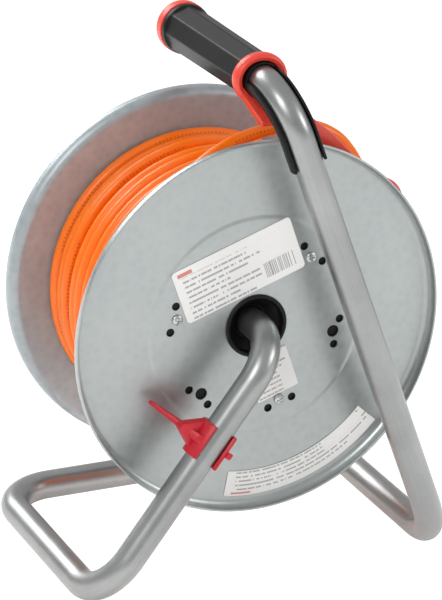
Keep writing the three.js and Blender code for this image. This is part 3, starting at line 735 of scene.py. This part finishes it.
def flangeProfile(inner):
    # The middle line of the sheet runs flat, down a soft step, flat, round a quarter circle and into a rolled edge.
    # Half the sheet goes to each side of it, across its direction.
    line = [[inner, flange["plate"] - 0.5]]
    s = np.linspace(0, 1, 9)
    near, far = flange["step"]
    line += [[near + (far - near) * a, flange["plate"] - 0.5 - flange["stepDepth"] * b] for a, b in zip(s, eased(s))]
    start = flange["radius"] - 0.5 - flange["lipBend"]
    a = np.linspace(0, math.pi / 2, 14)
    line += [[start + flange["lipBend"] * math.sin(k), flange["plate"] - 1.1
              + flange["lipBend"] * (1 - math.cos(k))] for k in a]
    line += [[start + flange["lipBend"], flange["rim"] - 2.0]]
    line = np.array(line)
    ahead = np.gradient(line, axis=0)
    ahead /= np.linalg.norm(ahead, axis=1)[:, None]
    across = np.stack([-ahead[:, 1], ahead[:, 0]], 1) * flange["sheet"] / 2
    bead = np.linspace(-0.15, 1.0, 10) * math.pi
    edge = np.stack([start + flange["lipBend"] - 0.35 + 0.85 * np.cos(bead),
                     flange["rim"] - 0.95 + 0.9 * np.sin(bead)], 1)
    return np.r_[line - across, edge, (line + across)[::-1]]


def rods(low, high, radius, circle, angles, sides=40):
    # Round bars along Y, one at each angle of a circle about the axis.
    return [turned("hole", [[0, low], [radius, low], [radius, high], [0, high]], sides,
                   (spot(circle, a)[0], 0, spot(circle, a)[1] + axisHeight), soft=0) for a in angles]


def makeFlanges():
    rear = turned("rearFlangePlate", flangeProfile(flange["bore"]), flange["sides"], (0, 0, axisHeight),
                  soft=0, sharp=40)
    screws, vents, side = flange["rearScrews"], flange["vents"], flange["sideAngle"]
    holes = rods(60, 70, flange["screwHole"], flange["screwCircle"], screws)
    holes += rods(60, 70, flange["ventHole"], flange["screwCircle"], vents)
    holes += rods(60, 70, flange["sideHole"], flange["sideCircle"],
                  [a + s for a in screws + vents for s in (-side, side)])
    carve(rear, [together(holes)])
    smoothed(rear, 40)
    placed(rear, sheetPaint, "drum", "galvanised_sheet", "rear_flange")
    front = turned("frontFlangePlate", flangeProfile(flange["panelHole"]) * [1, -1], flange["sides"],
                   (0, 0, axisHeight), soft=0, sharp=40)
    radius, circle, angle = flange["knobHole"]
    carve(front, rods(-70, -60, radius, circle, [angle]))
    smoothed(front, 40)
    placed(front, relitFarPaint, "drum", "galvanised_sheet", "front_flange")


makeFlanges()
print("flanges made")


# Barrel, bush and what holds the drum on the axle
hub = {"bush": [[11.6, 52], [13.6, 52], [22, 60.6], [22, 65.3], [24.3, 65.3], [24.3, 66.4], [23.4, 67.1],
                [22.4, 67.2], [21.2, 66.2], [20.6, 61.4], [12.8, 54.4], [11.6, 54.2]],
       "barrel": [[72, -62.9], [72, 63.1], [26.6, 63.1], [26.6, 61.5], [14.4, 50], [12.4, 49.6], [12.4, -54],
                  [15, -54], [15, 47.4], [28, 60.3], [69.5, 60.3], [69.5, -62.9]],
       "washer": [[11.7, -54.3], [11.7, -55.6], [17, -55.6], [17, -54.3]],
       "retainer": [[2.3, -44], [8.9, -44], [8.9, -56.3], [16, -56.3], [16, -58.8], [2.3, -58.8]],
       "screw": [[0, -46], [2, -46], [2, -59.1], [4.6, -59.1], [4.6, -60.6], [3, -61.6], [0, -61.6]],
       "post": 5.2, "postHole": 2.2}


def onAxle(name, profile, sides, paint, body, slotName, node, soft=0.4):
    piece = turned(name, profile, sides, (0, 0, axisHeight), soft=soft)
    return placed(piece, paint, body, slotName, node)


def makeHub():
    onAxle("hubBush", hub["bush"], 128, blackPaint, "drum", "black_plastic", "hub_bush")
    barrel = turned("barrel", hub["barrel"], 128, (0, 0, axisHeight), soft=0.5)
    circle, rear, ahead = flange["screwCircle"], flange["rearScrews"], flange["panelScrews"]
    posts = rods(48, 61, hub["post"], circle, rear, 32) + rods(-62, -40, hub["post"], circle, ahead, 32)
    carve(barrel, [together(posts)], join=True)
    holes = rods(46, 66, hub["postHole"], circle, rear, 24) + rods(-66, -38, hub["postHole"], circle, ahead, 24)
    carve(barrel, [together(holes)])
    smoothed(barrel, 34)
    placed(barrel, blackPaint, "drum", "black_plastic", "drum_core")
    onAxle("thrustWasher", hub["washer"], 72, zincPaint, "drum", "zinc_fasteners", "thrust_washer", 0.2)
    onAxle("axleRetainer", hub["retainer"], 72, blackPaint, "frame", "black_plastic", "axle_retainer")
    onAxle("axleScrew", hub["screw"], 48, zincPaint, "frame", "zinc_fasteners", "axle_screw", 0.3)


def crossScrew(name, node, x, z, head, tip):
    # Pan head with a cross recess, and a shank with shallow ridges. Head and tip are their places along Y.
    out = math.copysign(1, head)
    ridges = np.arange(min(tip, head) + 1.5, max(tip, head) - 1.0, 0.55)
    shank = [[1.55 + 0.25 * (k % 2), y] for k, y in enumerate(ridges if out > 0 else ridges[::-1])]
    dome = [[4 * math.cos(a), head + out * (0.7 + 1.5 * math.sin(a))] for a in np.linspace(0, math.pi / 2, 9)]
    outline = [[0, tip], [1.1, tip + out * 0.6]] + shank + [[1.8, head], [4, head]] + dome[:-1]
    outline.append([0, head + out * 2.2])
    piece = turned(name, outline, 48, (x, 0, z + axisHeight), soft=0, sharp=50)
    turnBy = math.radians(23 + x * 7)
    slots = []
    for extra in (0, math.pi / 2):
        c, s = math.cos(turnBy + extra), math.sin(turnBy + extra)
        slots.append(slab("slot", [[-2.5, -0.5], [2.5, -0.5], [2.5, 0.5], [-2.5, 0.5]], 2.6,
                          [[c, -s, 0], [0, 0, 1], [s, c, 0]], (x, head + out * 2.2, z + axisHeight), 0))
    carve(piece, slots)
    smoothed(piece, 40)
    placed(piece, zincPaint, "drum", "zinc_fasteners", node)


makeHub()
for k, a in enumerate(flange["rearScrews"]):
    crossScrew("rearScrew%d" % (k + 1), "rear_screw_%d" % (k + 1), *spot(flange["screwCircle"], a), 65.3, 50)
print("hub and rear screws made")


# Socket panel, sockets and flaps
panel = {"top": -69.5, "circle": 46.0, "sockets": (90, 210, 330), "outer": 23.5, "well": 19.6, "face": -87.0,
         "floor": -70.0, "hinge": 27.0, "pinY": -88.6, "pin": 1.3, "gap": 0.3, "pinHoles": 9.5,
         "trimCircle": 44, "button": 30, "lamp": 150}


def makePanel():
    top = panel["top"]
    outline = [[0, -65.3], [86, -65.3], [86, -66.6], [83.6, top], [79.6, top], [79.1, top + 0.5], [77.9, top + 0.5],
               [77.4, top], [0, top]]
    plate = turned("socketPanelPlate", outline, 192, (0, 0, axisHeight), soft=0.35)
    trim = panel["trimCircle"]
    cutters = rods(-60, -75, 22.3, panel["circle"], panel["sockets"], 96)
    cutters += rods(-60, -75, 7.4, trim, [panel["button"]], 48) + rods(-60, -75, 3.4, trim, [panel["lamp"]], 32)
    cutters += rods(-60, -75, flange["screwHole"], flange["screwCircle"], flange["panelScrews"], 32)
    carve(plate, [together(cutters)])
    smoothed(plate, 34)
    placed(plate, blackPaint, "drum", "black_plastic", "socket_panel")
    for k, a in enumerate(flange["panelScrews"]):
        place = spot(flange["screwCircle"], a)
        crossScrew("panelScrew%d" % (k + 1), "panel_screw_%d" % (k + 1), *place, top - 0.3, -50)
    onAxle("hubCap", [[0, top - 0.3], [13.4, top - 0.3], [13.4, -71.4], [12, -73], [8.6, -73], [8.2, -72.6],
                      [7.4, -72.6], [7, -73], [0, -73]], 96, redPaint, "drum", "red_plastic", "hub_cap", 0.3)


def block(name, x0, x1, y0, y1, z0, z1, bevel=0.4):
    # A box between two places along each axis.
    return slab(name, [[x0, y0], [x1, y0], [x1, y1], [x0, y1]], z1 - z0, at=(0, 0, (z0 + z1) / 2), bevel=bevel)


def crossBar(name, radius, z0, z1, x, y, sides=32):
    # A round bar along Z.
    outline = arc(radius, np.linspace(0, 2 * math.pi, sides, endpoint=False)) + [x, y]
    return slab(name, outline, z1 - z0, at=(0, 0, (z0 + z1) / 2), bevel=0)


def stood(piece, degrees):
    # Moves a piece made round the origin to a socket's place on the panel, its X pointing outwards.
    c, s = math.cos(math.radians(degrees)), math.sin(math.radians(degrees))
    x, z = spot(panel["circle"], degrees)
    return moved(piece, Matrix(((c, 0, -s, x * 0.001), (0, 1, 0, 0), (s, 0, c, (z + axisHeight) * 0.001),
                                (0, 0, 0, 1))))


def makeSocket(index, degrees):
    # A socket with hinge lugs, a hinge pin and a flap, made round the origin and then stood in place.
    p, face = panel, panel["face"]
    body = turned("socket", [[0, -61], [21.9, -61], [21.9, -69.8], [24.5, -69.8], [24.5, -71.2], [23.9, -72],
                             [p["outer"], face], [0, face]], 96, soft=0.4)
    lugs = []
    for side in (-1, 1):
        z = side * 13.5
        lugs += [block("lug", 21.5, 30, -91, -76, z - 1.5, z + 1.5),
                 block("lug", 17, 30, face, -76, z - 1.5, z + 1.5, 0)]
    carve(body, [applied(lug) for lug in lugs], join=True)
    tools = [turned("well", [[0, p["floor"]], [19.2, p["floor"]], [p["well"], -71], [p["well"], -95], [0, -95]],
                    96, soft=0)]
    tools += [turned("pinHole", [[0, -55], [2.6, -55], [2.6, -69.4], [3.2, -70.4], [0, -75]], 32, (0, 0, z), soft=0)
              for z in (-p["pinHoles"], p["pinHoles"])]
    tools += [crossBar("bore", p["pin"] + p["gap"], -20, 20, p["hinge"], p["pinY"]),
              block("pocket", p["hinge"] - 3.7, p["hinge"] + 4, -92, p["pinY"] + 3.6, -11.9, 11.9, 0)]
    carve(body, tools)
    smoothed(body, 34)
    placed(stood(body, degrees), blackPaint, "drum", "black_plastic", "socket_%d" % index)
    pin = crossBar("flapPin", p["pin"], -15, 15, p["hinge"], p["pinY"])
    placed(stood(pin, degrees), zincPaint, "drum", "zinc_fasteners", "flap_pin_%d" % index)
    under, over = face - 0.3, face - 3
    lid = turned("socketFlap", [[0, under], [23.3, under], [23.3, face - 2.2], [22.4, over], [18.4, over],
                                [17.9, face - 2.6], [16.9, face - 2.6], [16.4, over], [0, over]], 128, soft=0.3)
    joins = [applied(block("tongue", 14, p["hinge"], over, under, -11.6, 11.6, 0.3)),
             crossBar("knuckle", 3.2, -11.6, 11.6, p["hinge"], p["pinY"], 48),
             applied(block("lift", -26, -20, over, under, -6, 6, 0.6))]
    carve(lid, joins, join=True)
    carve(lid, [crossBar("bore", p["pin"] + p["gap"], -20, 20, p["hinge"], p["pinY"])])
    smoothed(lid, 34)
    placed(stood(lid, degrees), flapPaint, "flap_%d" % index, "black_plastic", "socket_flap_%d" % index)


makePanel()
for k, a in enumerate(panel["sockets"]):
    makeSocket(k + 1, a)
print("panel and sockets made")


# Cutout, its button, the lamp and the winding knob
def turnedAt(name, profile, sides, circle, degrees, paint, body, slotName, node, soft=0.4, sharp=34):
    x, z = spot(circle, degrees)
    piece = turned(name, profile, sides, (x, 0, z + axisHeight), soft=soft, sharp=sharp)
    return placed(piece, paint, body, slotName, node)


knob = {"circle": 123.0, "angle": 150.0,
        "body": [[4.5, -68.6], [9, -68.6], [9.6, -69.4], [10.2, -72], [10.3, -78], [10.6, -84], [11.2, -91],
                 [12.2, -98], [12.8, -104], [13, -109], [12.9, -113], [12.2, -116], [10.6, -118], [8.6, -118.6],
                 [8, -118], [8, -112], [4.5, -112]]}


def makeTrim():
    button = (panel["trimCircle"], panel["button"])
    turnedAt("thermalCutout", [[5.6, -62], [7, -62], [7, -69.8], [9.4, -69.8], [9.4, -72.8], [8.8, -73.6],
                               [5.6, -73.6]], 64, *button, blackPaint, "drum", "black_plastic", "thermal_cutout", 0.3)
    turnedAt("resetButton", [[0, -64], [5.2, -64], [5.2, -76.4], [4.4, -77.4], [0, -77.1]], 48, *button, redPaint,
             "reset", "red_plastic", "reset_button", 0.3)
    turnedAt("supplyLamp", [[0, -62], [3.1, -62], [3.1, -69.8], [4.6, -69.8], [4.4, -71], [3.6, -72.4], [2.2, -73.1],
                            [0, -73.4]], 48, panel["trimCircle"], panel["lamp"], lampPaint, "drum", "lamp_lens",
             "supply_lamp", 0.3)
    place = (knob["circle"], knob["angle"])
    turnedAt("windingKnob", knob["body"], 96, *place, blackPaint, "knob", "black_plastic", "winding_knob", 0.5)
    turnedAt("knobBolt", [[0, -60.6], [4, -60.6], [4, -112.3], [7.4, -112.3], [7.4, -114.6], [5.8, -115.8],
                          [0, -116]], 48, *place, zincPaint, "drum", "zinc_fasteners", "knob_bolt", 0.3)
    turnedAt("knobNut", [[5, -60.6], [6.9, -60.6], [6.9, -63.1], [5, -63.1]], 6, *place, zincPaint, "drum",
             "zinc_fasteners", "knob_nut", 0.25, 20)
    turnedAt("knobWasher", [[4.5, -65.3], [9, -65.3], [9, -68], [4.5, -68]], 64, *place, zincPaint, "drum",
             "zinc_fasteners", "knob_washer", 0.3)


makeTrim()
print("trim and knob made")


# Labels: thin cards with plain bars and blocks on them
def cardOutline(x, z, width, height, corner):
    # A rounded rectangle, turned by the labels' tilt.
    a = math.radians(labels["tilt"])
    ring = []
    for k, (sx, sz) in enumerate([(1, 1), (-1, 1), (-1, -1), (1, -1)]):
        b = (k + np.linspace(0, 1, 8)) * math.pi / 2
        ring.append(arc(corner, b) + [sx * (width / 2 - corner), sz * (height / 2 - corner)])
    ring = np.concatenate(ring)
    turnBy = np.array([[math.cos(a), -math.sin(a)], [math.sin(a), math.cos(a)]])
    return ring @ turnBy.T + [x, z]


def card(name, outline, y, paint, node):
    upright = [[1, 0, 0], [0, 0, 1], [0, 1, 0]]
    piece = slab(name, outline, labels["depth"], upright, (0, y + labels["depth"] / 2, axisHeight), 0)
    placed(piece, paint, "drum", "label_paper", node)


def makeLabels():
    card("ratingLabel", cardOutline(*labels["rating"]), labels["plate"], ratingPaint, "rating_label")
    card("noticeLabel", cardOutline(*labels["notice"]), labels["plate"], noticePaint, "notice_label")
    inner, outer, low, high = labels["curved"]
    a = np.radians(np.linspace(low, high, 60))
    card("curvedLabel", np.r_[arc(outer, a), arc(inner, a[::-1])], labels["step"], curvedPaint, "curved_label")


makeLabels()
print("labels made")


# Grip: shell, red core with its ring and spine, end cap and liner
grip = {"front": -74.0, "back": 57.0, "bore": 14.8,
        "outer": [(-74, 18.6, 1.0), (-73.4, 19.2, 1.0), (-72.6, 19.4, 1.0), (-69.6, 19.4, 1.0), (-68.6, 19.2, 0.9),
                  (-67.6, 18.6, 0.5), (-66.4, 18.35, 0.1), (-62, 18.25, 0.0), (-30, 17.9, 0.0), (0, 17.6, 0.0),
                  (30, 17.4, 0.0), (56.2, 17.25, 0.0), (57, 16.6, 0.0)],  # y, radius and how round it is
        "sleeve": [[11.6, -72], [14.2, -72], [14.2, 57.8], [11.6, 57.8]],
        "spine": [[-45, -18], [-45, -19.4], [20, -20.2], [45, -21.8], [60, -22.6], [60, -17]], "spineWidth": 12,
        "stretch": (1.06, 1, 0.97, 1),  # the ring is a little wider than tall
        "cap": [[0, -84.2], [9, -84.4], [14, -85], [18.4, -84.4], [19.6, -83], [20, -81.4], [20, -75],
                [19.6, -74.3], [14.2, -74.3], [14.2, -72.6], [11.9, -72.6], [11.9, -82.2], [0, -82.2]],
        "linerStart": 66.4, "linerEnd": (-20.4, -54.7), "linerInner": 11.7, "linerOuter": 14.1, "linerRoom": 14.6,
        "linerSpread": 108, "bush": [[11.8, 60.2], [13.1, 60.2], [13.1, 68.8], [11.8, 68.8]]}


def gripPlace(piece):
    # From the grip's own frame to the row frame: tilted about X and lifted to the grip line.
    a = math.radians(tube["slope"])
    return moved(piece, Matrix(((1, 0, 0, 0), (0, math.cos(a), -math.sin(a), 0),
                                (0, math.sin(a), math.cos(a), gripHeight * 0.001), (0, 0, 0, 1))))


def gripShell():
    # An octagon with eased corners, blended to a circle at the collar. Its radius is the sum, over the eight
    # facets, of a high power of the cosine of the angle from the facet, taken to one over minus that power.
    a = np.linspace(0, 2 * math.pi, 192, endpoint=False)
    facets = np.radians(22.5 + 45 * np.arange(8))
    power = 90
    facing = np.maximum(np.cos(a[:, None] - facets[None]), 0) ** power
    shape = facing.sum(1) ** (-1 / power) * math.cos(math.radians(22.5))
    shape /= shape.max()
    profile = np.array(grip["outer"])
    fine = np.unique(np.r_[profile[:, 0], np.linspace(-66, 56, 30)])
    radius, blend = np.interp(fine, profile[:, 0], profile[:, 1]), np.interp(fine, profile[:, 0], profile[:, 2])
    reach = radius[:, None] * (shape[None] * (1 - blend[:, None]) + blend[:, None])
    rows = np.stack([reach * np.cos(a), fine[:, None] + 0 * a, reach * np.sin(a)], -1)
    bore = lambda y: np.stack([grip["bore"] * np.cos(a), y + 0 * a, grip["bore"] * np.sin(a)], -1)[None]
    grid = np.concatenate([bore(grip["front"]), rows, bore(grip["back"])])
    piece = surface("gripShell", grid, ringRows=True, capped=False, sharp=38)
    placed(gripPlace(piece), gripPaint, "frame", "grip_rubber", "grip_shell")


def wrapped(name, points):
    # The convex hull of a set of points.
    shape = bmesh.new()
    for point in np.asarray(points, float) * 0.001:
        shape.verts.new(point)
    made = bmesh.ops.convex_hull(shape, input=shape.verts)
    spare = [v for v in made["geom_interior"] if isinstance(v, bmesh.types.BMVert)]
    bmesh.ops.delete(shape, geom=spare, context="VERTS")
    bmesh.ops.recalc_face_normals(shape, faces=shape.faces)
    mesh = bpy.data.meshes.new(name)
    shape.to_mesh(mesh)
    shape.free()
    return linked(name, mesh)


def linerPath():
    # The tube's own line from inside the ring, round the bend and down the diagonal.
    start, (x, z) = grip["linerStart"], grip["linerEnd"]
    return bentPath([((0, start, onGripLine(start)), 0), ((0, tube["halfDepth"], tube["corner"]), tube["topBend"]),
                     ((x, tube["halfDepth"], tube["corner"] + z), 0)], 1.2)


# Up at the start of the liner is away from the diagonal, so that the liner opens straight backwards lower down.
awayFromDiagonal = (tube["halfWidth"], 0, tube["corner"] - tube["radius"])


def gripCore():
    # Sleeve, ring and spine, and the web that the ring's foot runs down into.
    stretch = Matrix.Diagonal(grip["stretch"])
    sleeve = turned("gripCore", grip["sleeve"], 64, soft=0.3)
    swell = np.linspace(-0.48, 0.62, 14) * math.pi
    bulge = [[17.2 + 2.6 * math.cos(k), 62.4 + 5.2 * math.sin(k)] for k in swell]
    ring = turned("ring", [[12, 57.3], [16.8, 57.3]] + bulge + [[14.6, 66.6], [13.9, 65.0], [13.9, 59.8], [12, 59.4]],
                  144, soft=0.35)
    moved(ring, stretch)
    spine = applied(slab("spine", softened(grip["spine"], 1.2, 3), grip["spineWidth"],
                         [[0, 0, 1], [1, 0, 0], [0, 1, 0]], bevel=0.8))
    carve(spine, [turned("room", [[0, -90], [18.7, -90], [18.7, 57.3], [0, 57.3]], 96, soft=0)])
    a = np.linspace(-2.85, -0.29, 40)
    foot = [np.stack([19 * np.cos(a), 0 * a + y, 17.4 * np.sin(a)], 1) for y in (58.7, 66.2)]
    toe = [[x, y, z] for x in (-4.6, 4.6) for y in (72, 79.4) for z in (-31.6, -27.6)]
    web = applied(roundEdges(wrapped("web", np.concatenate(foot + [np.array(toe, float)])), 1.2))
    roomPiece = moved(turned("room", [[0, 59.8], [14.1, 59.8], [14.1, 79.8], [0, 79.8]], 144, soft=0), stretch)
    inner = turned("room", [[0, 50], [12, 50], [12, 70], [0, 70]], 96, soft=0)
    side = applied(block("side", -30, -12.4, 67.4, 90, -60, 0, 0))
    carve(web, [roomPiece, inner, side])
    carve(sleeve, [ring, spine, web], join=True)
    gripPlace(sleeve)
    carve(sleeve, [pipe("room", linerPath(), grip["linerRoom"], 72, awayFromDiagonal)])
    smoothed(sleeve, 36)
    placed(sleeve, redPaint, "frame", "red_plastic", "grip_core")


def gripEnds():
    # End cap, and the liner: an open channel with round lips carried along the tube, on a short bush.
    cap = turned("gripEndCap", grip["cap"], 128, soft=0.5)
    placed(gripPlace(cap), redPaint, "frame", "red_plastic", "grip_end_cap")
    half = grip["linerSpread"]
    spread = np.radians(np.linspace(-half, half, 49)) - math.pi / 2
    edge = lambda middle, up: middle + arc(1.1, up + np.linspace(-1.3, 1.3, 7))
    inner, outer = arc(grip["linerInner"], spread), arc(grip["linerOuter"], spread)
    first = edge((inner[0] + outer[0]) / 2, spread[0] - math.pi / 2)
    last = edge((inner[-1] + outer[-1]) / 2, spread[-1] + math.pi / 2)
    section = np.r_[outer, last, inner[::-1], first]
    liner = surface("gripLiner", carried(linerPath(), section[:, 0], section[:, 1], awayFromDiagonal), sharp=38)
    bush = gripPlace(turned("bush", grip["bush"], 96, soft=0.3))
    carve(liner, [bush], join=True)
    smoothed(liner, 38)
    placed(liner, gripPaint, "frame", "grip_rubber", "grip_liner")


gripShell()
gripCore()
gripEnds()
print("grip made")


# Cable guide and the plug parked in it
plug = {"start": (-108, 17, 281.5), "lean": 60.0, "pins": (-9.5, 9.5),
        "body": [[6.8, 16.6], [12, 17], [14.2, 20.4], [15.5, 24], [16.8, 30], [17.4, 34], [17.6, 36.4],
                 [18.6, 38], [18.6, 51], [18, 52], [0, 52], [0, 20.6], [6.8, 20.6]],
        "pin": [[0, 34], [2.3, 34], [2.3, 69.4], [1.7, 70.7], [0, 71]]}
lean = math.radians(plug["lean"])
plugAxis = Vector((-math.cos(lean), 0, -math.sin(lean)))
plugTurn = Matrix((plugAxis.cross(Vector((0, 1, 0))), plugAxis, (0, 1, 0))).transposed()
plugMatrix = Matrix.Translation(Vector(plug["start"]) * 0.001) @ plugTurn.to_4x4()


def plugPlace(piece):
    # From the plug's own frame, with its axis along Y, to its place on the guide.
    return moved(piece, plugMatrix)


guide = {"outline": [[-12.8, -8], [-20, -6.5], [-34, -11], [-59.5, -32], [-96, -69.5], [-121, -84], [-128, -96],
                     [-118, -104], [-100, -92], [-72, -66], [-40, -36], [-12.8, -24]],
         "thickness": 4.0, "tilt": 13.0, "height": 366.0, "y": 68.0}


def makeGuide():
    # A leaning plate with eased corners, the ring that the plug sits in, and the bridge between them.
    a = math.pi / 2 - math.radians(guide["tilt"])
    c, s = math.cos(a), math.sin(a)
    turnBy = [[1, 0, 0], [0, c, -s], [0, s, c]]
    outline = softened(guide["outline"], 6.0, 5)
    plate = applied(slab("cableGuide", outline, guide["thickness"], turnBy,
                         (0, guide["y"] - 2 * s, guide["height"] + 2 * c), 0.9))
    clip = plugPlace(turned("clip", [[8.7, 4], [11.2, 4], [11.2, 14], [8.7, 14]], 64, soft=0.5))
    bridge = plugPlace(applied(block("bridge", -5, 5, 4, 14, 9.4, 28.5, 0.8)))
    carve(plate, [clip, bridge], join=True)
    smoothed(plate, 34)
    placed(plate, redPaint, "frame", "red_plastic", "cable_guide")


def makePlug():
    # A ribbed kink guard, the moulded body with finger grooves, and two pins.
    ribs = [[0, 0.2], [5.6, 0.2], [6.4, 1]]
    for k in range(4):
        y = 2.2 + 3.4 * k
        r = 7.1 + 0.25 * k
        ribs += [[r, y], [r + 0.25, y + 1.9], [r - 0.9, y + 2.1], [r - 0.8, y + 3.2]]
    sleeve = turned("plugSleeve", ribs + [[7.6, 16], [6.4, 16.2], [6.4, 20], [0, 20]], 64, soft=0.35)
    sleeve = placed(plugPlace(sleeve), plugPaint, "frame", "red_plastic", "plug_sleeve")
    body = turned("plugBody", plug["body"], 96, soft=0.5)
    grooves = [block("groove", x0, x1, y, y + 1.3, -9, 9, 0) for y in (24, 27.4, 30.8)
               for x0, x1 in ((14.6, 20), (-20, -14.6))]
    holes = [turned("hole", [[0, 30], [2.6, 30], [2.6, 60], [0, 60]], 32, (0, 0, z), soft=0) for z in plug["pins"]]
    carve(body, [together(grooves), together(holes)])
    smoothed(body, 34)
    body = placed(plugPlace(body), plugPaint, "frame", "red_plastic", "plug_body")
    pins = []
    for k, z in enumerate(plug["pins"]):
        pin = turned("plugPin%d" % (k + 1), plug["pin"], 40, (0, 0, z), soft=0.2)
        pins.append(placed(plugPlace(pin), zincPaint, "frame", "zinc_fasteners", "plug_pin_%d" % (k + 1)))
    return [sleeve, body] + pins


makeGuide()
plugPieces = makePlug()
print("guide and plug made")


# Brake clip on the rear leg; outlines are across the leg and towards the drum, the gusset's across and down the leg
brake = {"downLeg": 88, "length": 28, "outer": 14.8, "bore": 11.6, "collar": (-48, 228),
         "blade": [[10, -9], [16, -7], [44, 30], [44, 32.4], [41.5, 32.4], [10, 5]], "bladeWidth": 7, "taper": 0.018,
         "gusset": [[10, -13.4], [13, -13.4], [29, -2.4], [29, 2.4], [13, 10], [10, 10]], "gussetDepth": 8,
         "nub": [[-15.4, -11.8], [-10.5, -12], [-10.5, -8.8], [-15.4, -9.4]], "nubWidth": 5}


def makeBrake():
    # A collar open on one side, a thin blade that reaches for the rim, a gusset behind it and a small nub.
    foot = Vector((tube["halfWidth"], tube["halfDepth"], tube["radius"]))
    top = Vector((0, tube["halfDepth"], axisHeight))
    downLeg = (foot - top).normalized()
    across = Vector((-downLeg.z, 0, downLeg.x))
    inward = downLeg.cross(across)
    turnBy = np.array([across, inward, downLeg]).T
    at = np.array(top + downLeg * brake["downLeg"])
    low, high = brake["collar"]
    a = np.radians(np.linspace(low, high, 60))
    outline = np.r_[arc(brake["outer"], a), arc(brake["bore"], a[::-1])]
    collar = applied(slab("brakeClip", outline, brake["length"], turnBy, at, 0.7))
    blade = slab("blade", softened(brake["blade"], 1.4, 3), brake["bladeWidth"], bevel=0)
    points = np.array([v.co for v in blade.data.vertices]) * 1000
    points[:, 2] *= 1 - brake["taper"] * (points[:, 0] - 10)
    blade.data.vertices.foreach_set("co", ((points @ turnBy.T + at) * 0.001).ravel())
    applied(roundEdges(blade, 0.8))
    flat = turnBy @ np.array([[1, 0, 0], [0, 0, -1], [0, 1, 0]])
    gusset = applied(slab("gusset", softened(brake["gusset"], 1.5, 3), brake["gussetDepth"], flat,
                          at + turnBy @ np.array([0, 3, 0]), 0.8))
    nub = applied(slab("nub", brake["nub"], brake["nubWidth"], turnBy, at + turnBy @ np.array([0, 0, -0.5]), 0.9))
    carve(collar, [blade, gusset, nub], join=True)
    bore = slab("bore", arc(brake["bore"], np.linspace(0, 2 * math.pi, 72, endpoint=False)), 60, turnBy, at, 0)
    carve(collar, [bore])
    smoothed(collar, 36)
    placed(collar, brakePaint, "brake", "brake_red", "brake_clip")


makeBrake()
print("brake made")

# The lengths of the two cords
print("winding", round(lengthOf(windingLine), 2), "m, tail", round(lengthOf(tailLine), 3), "m")
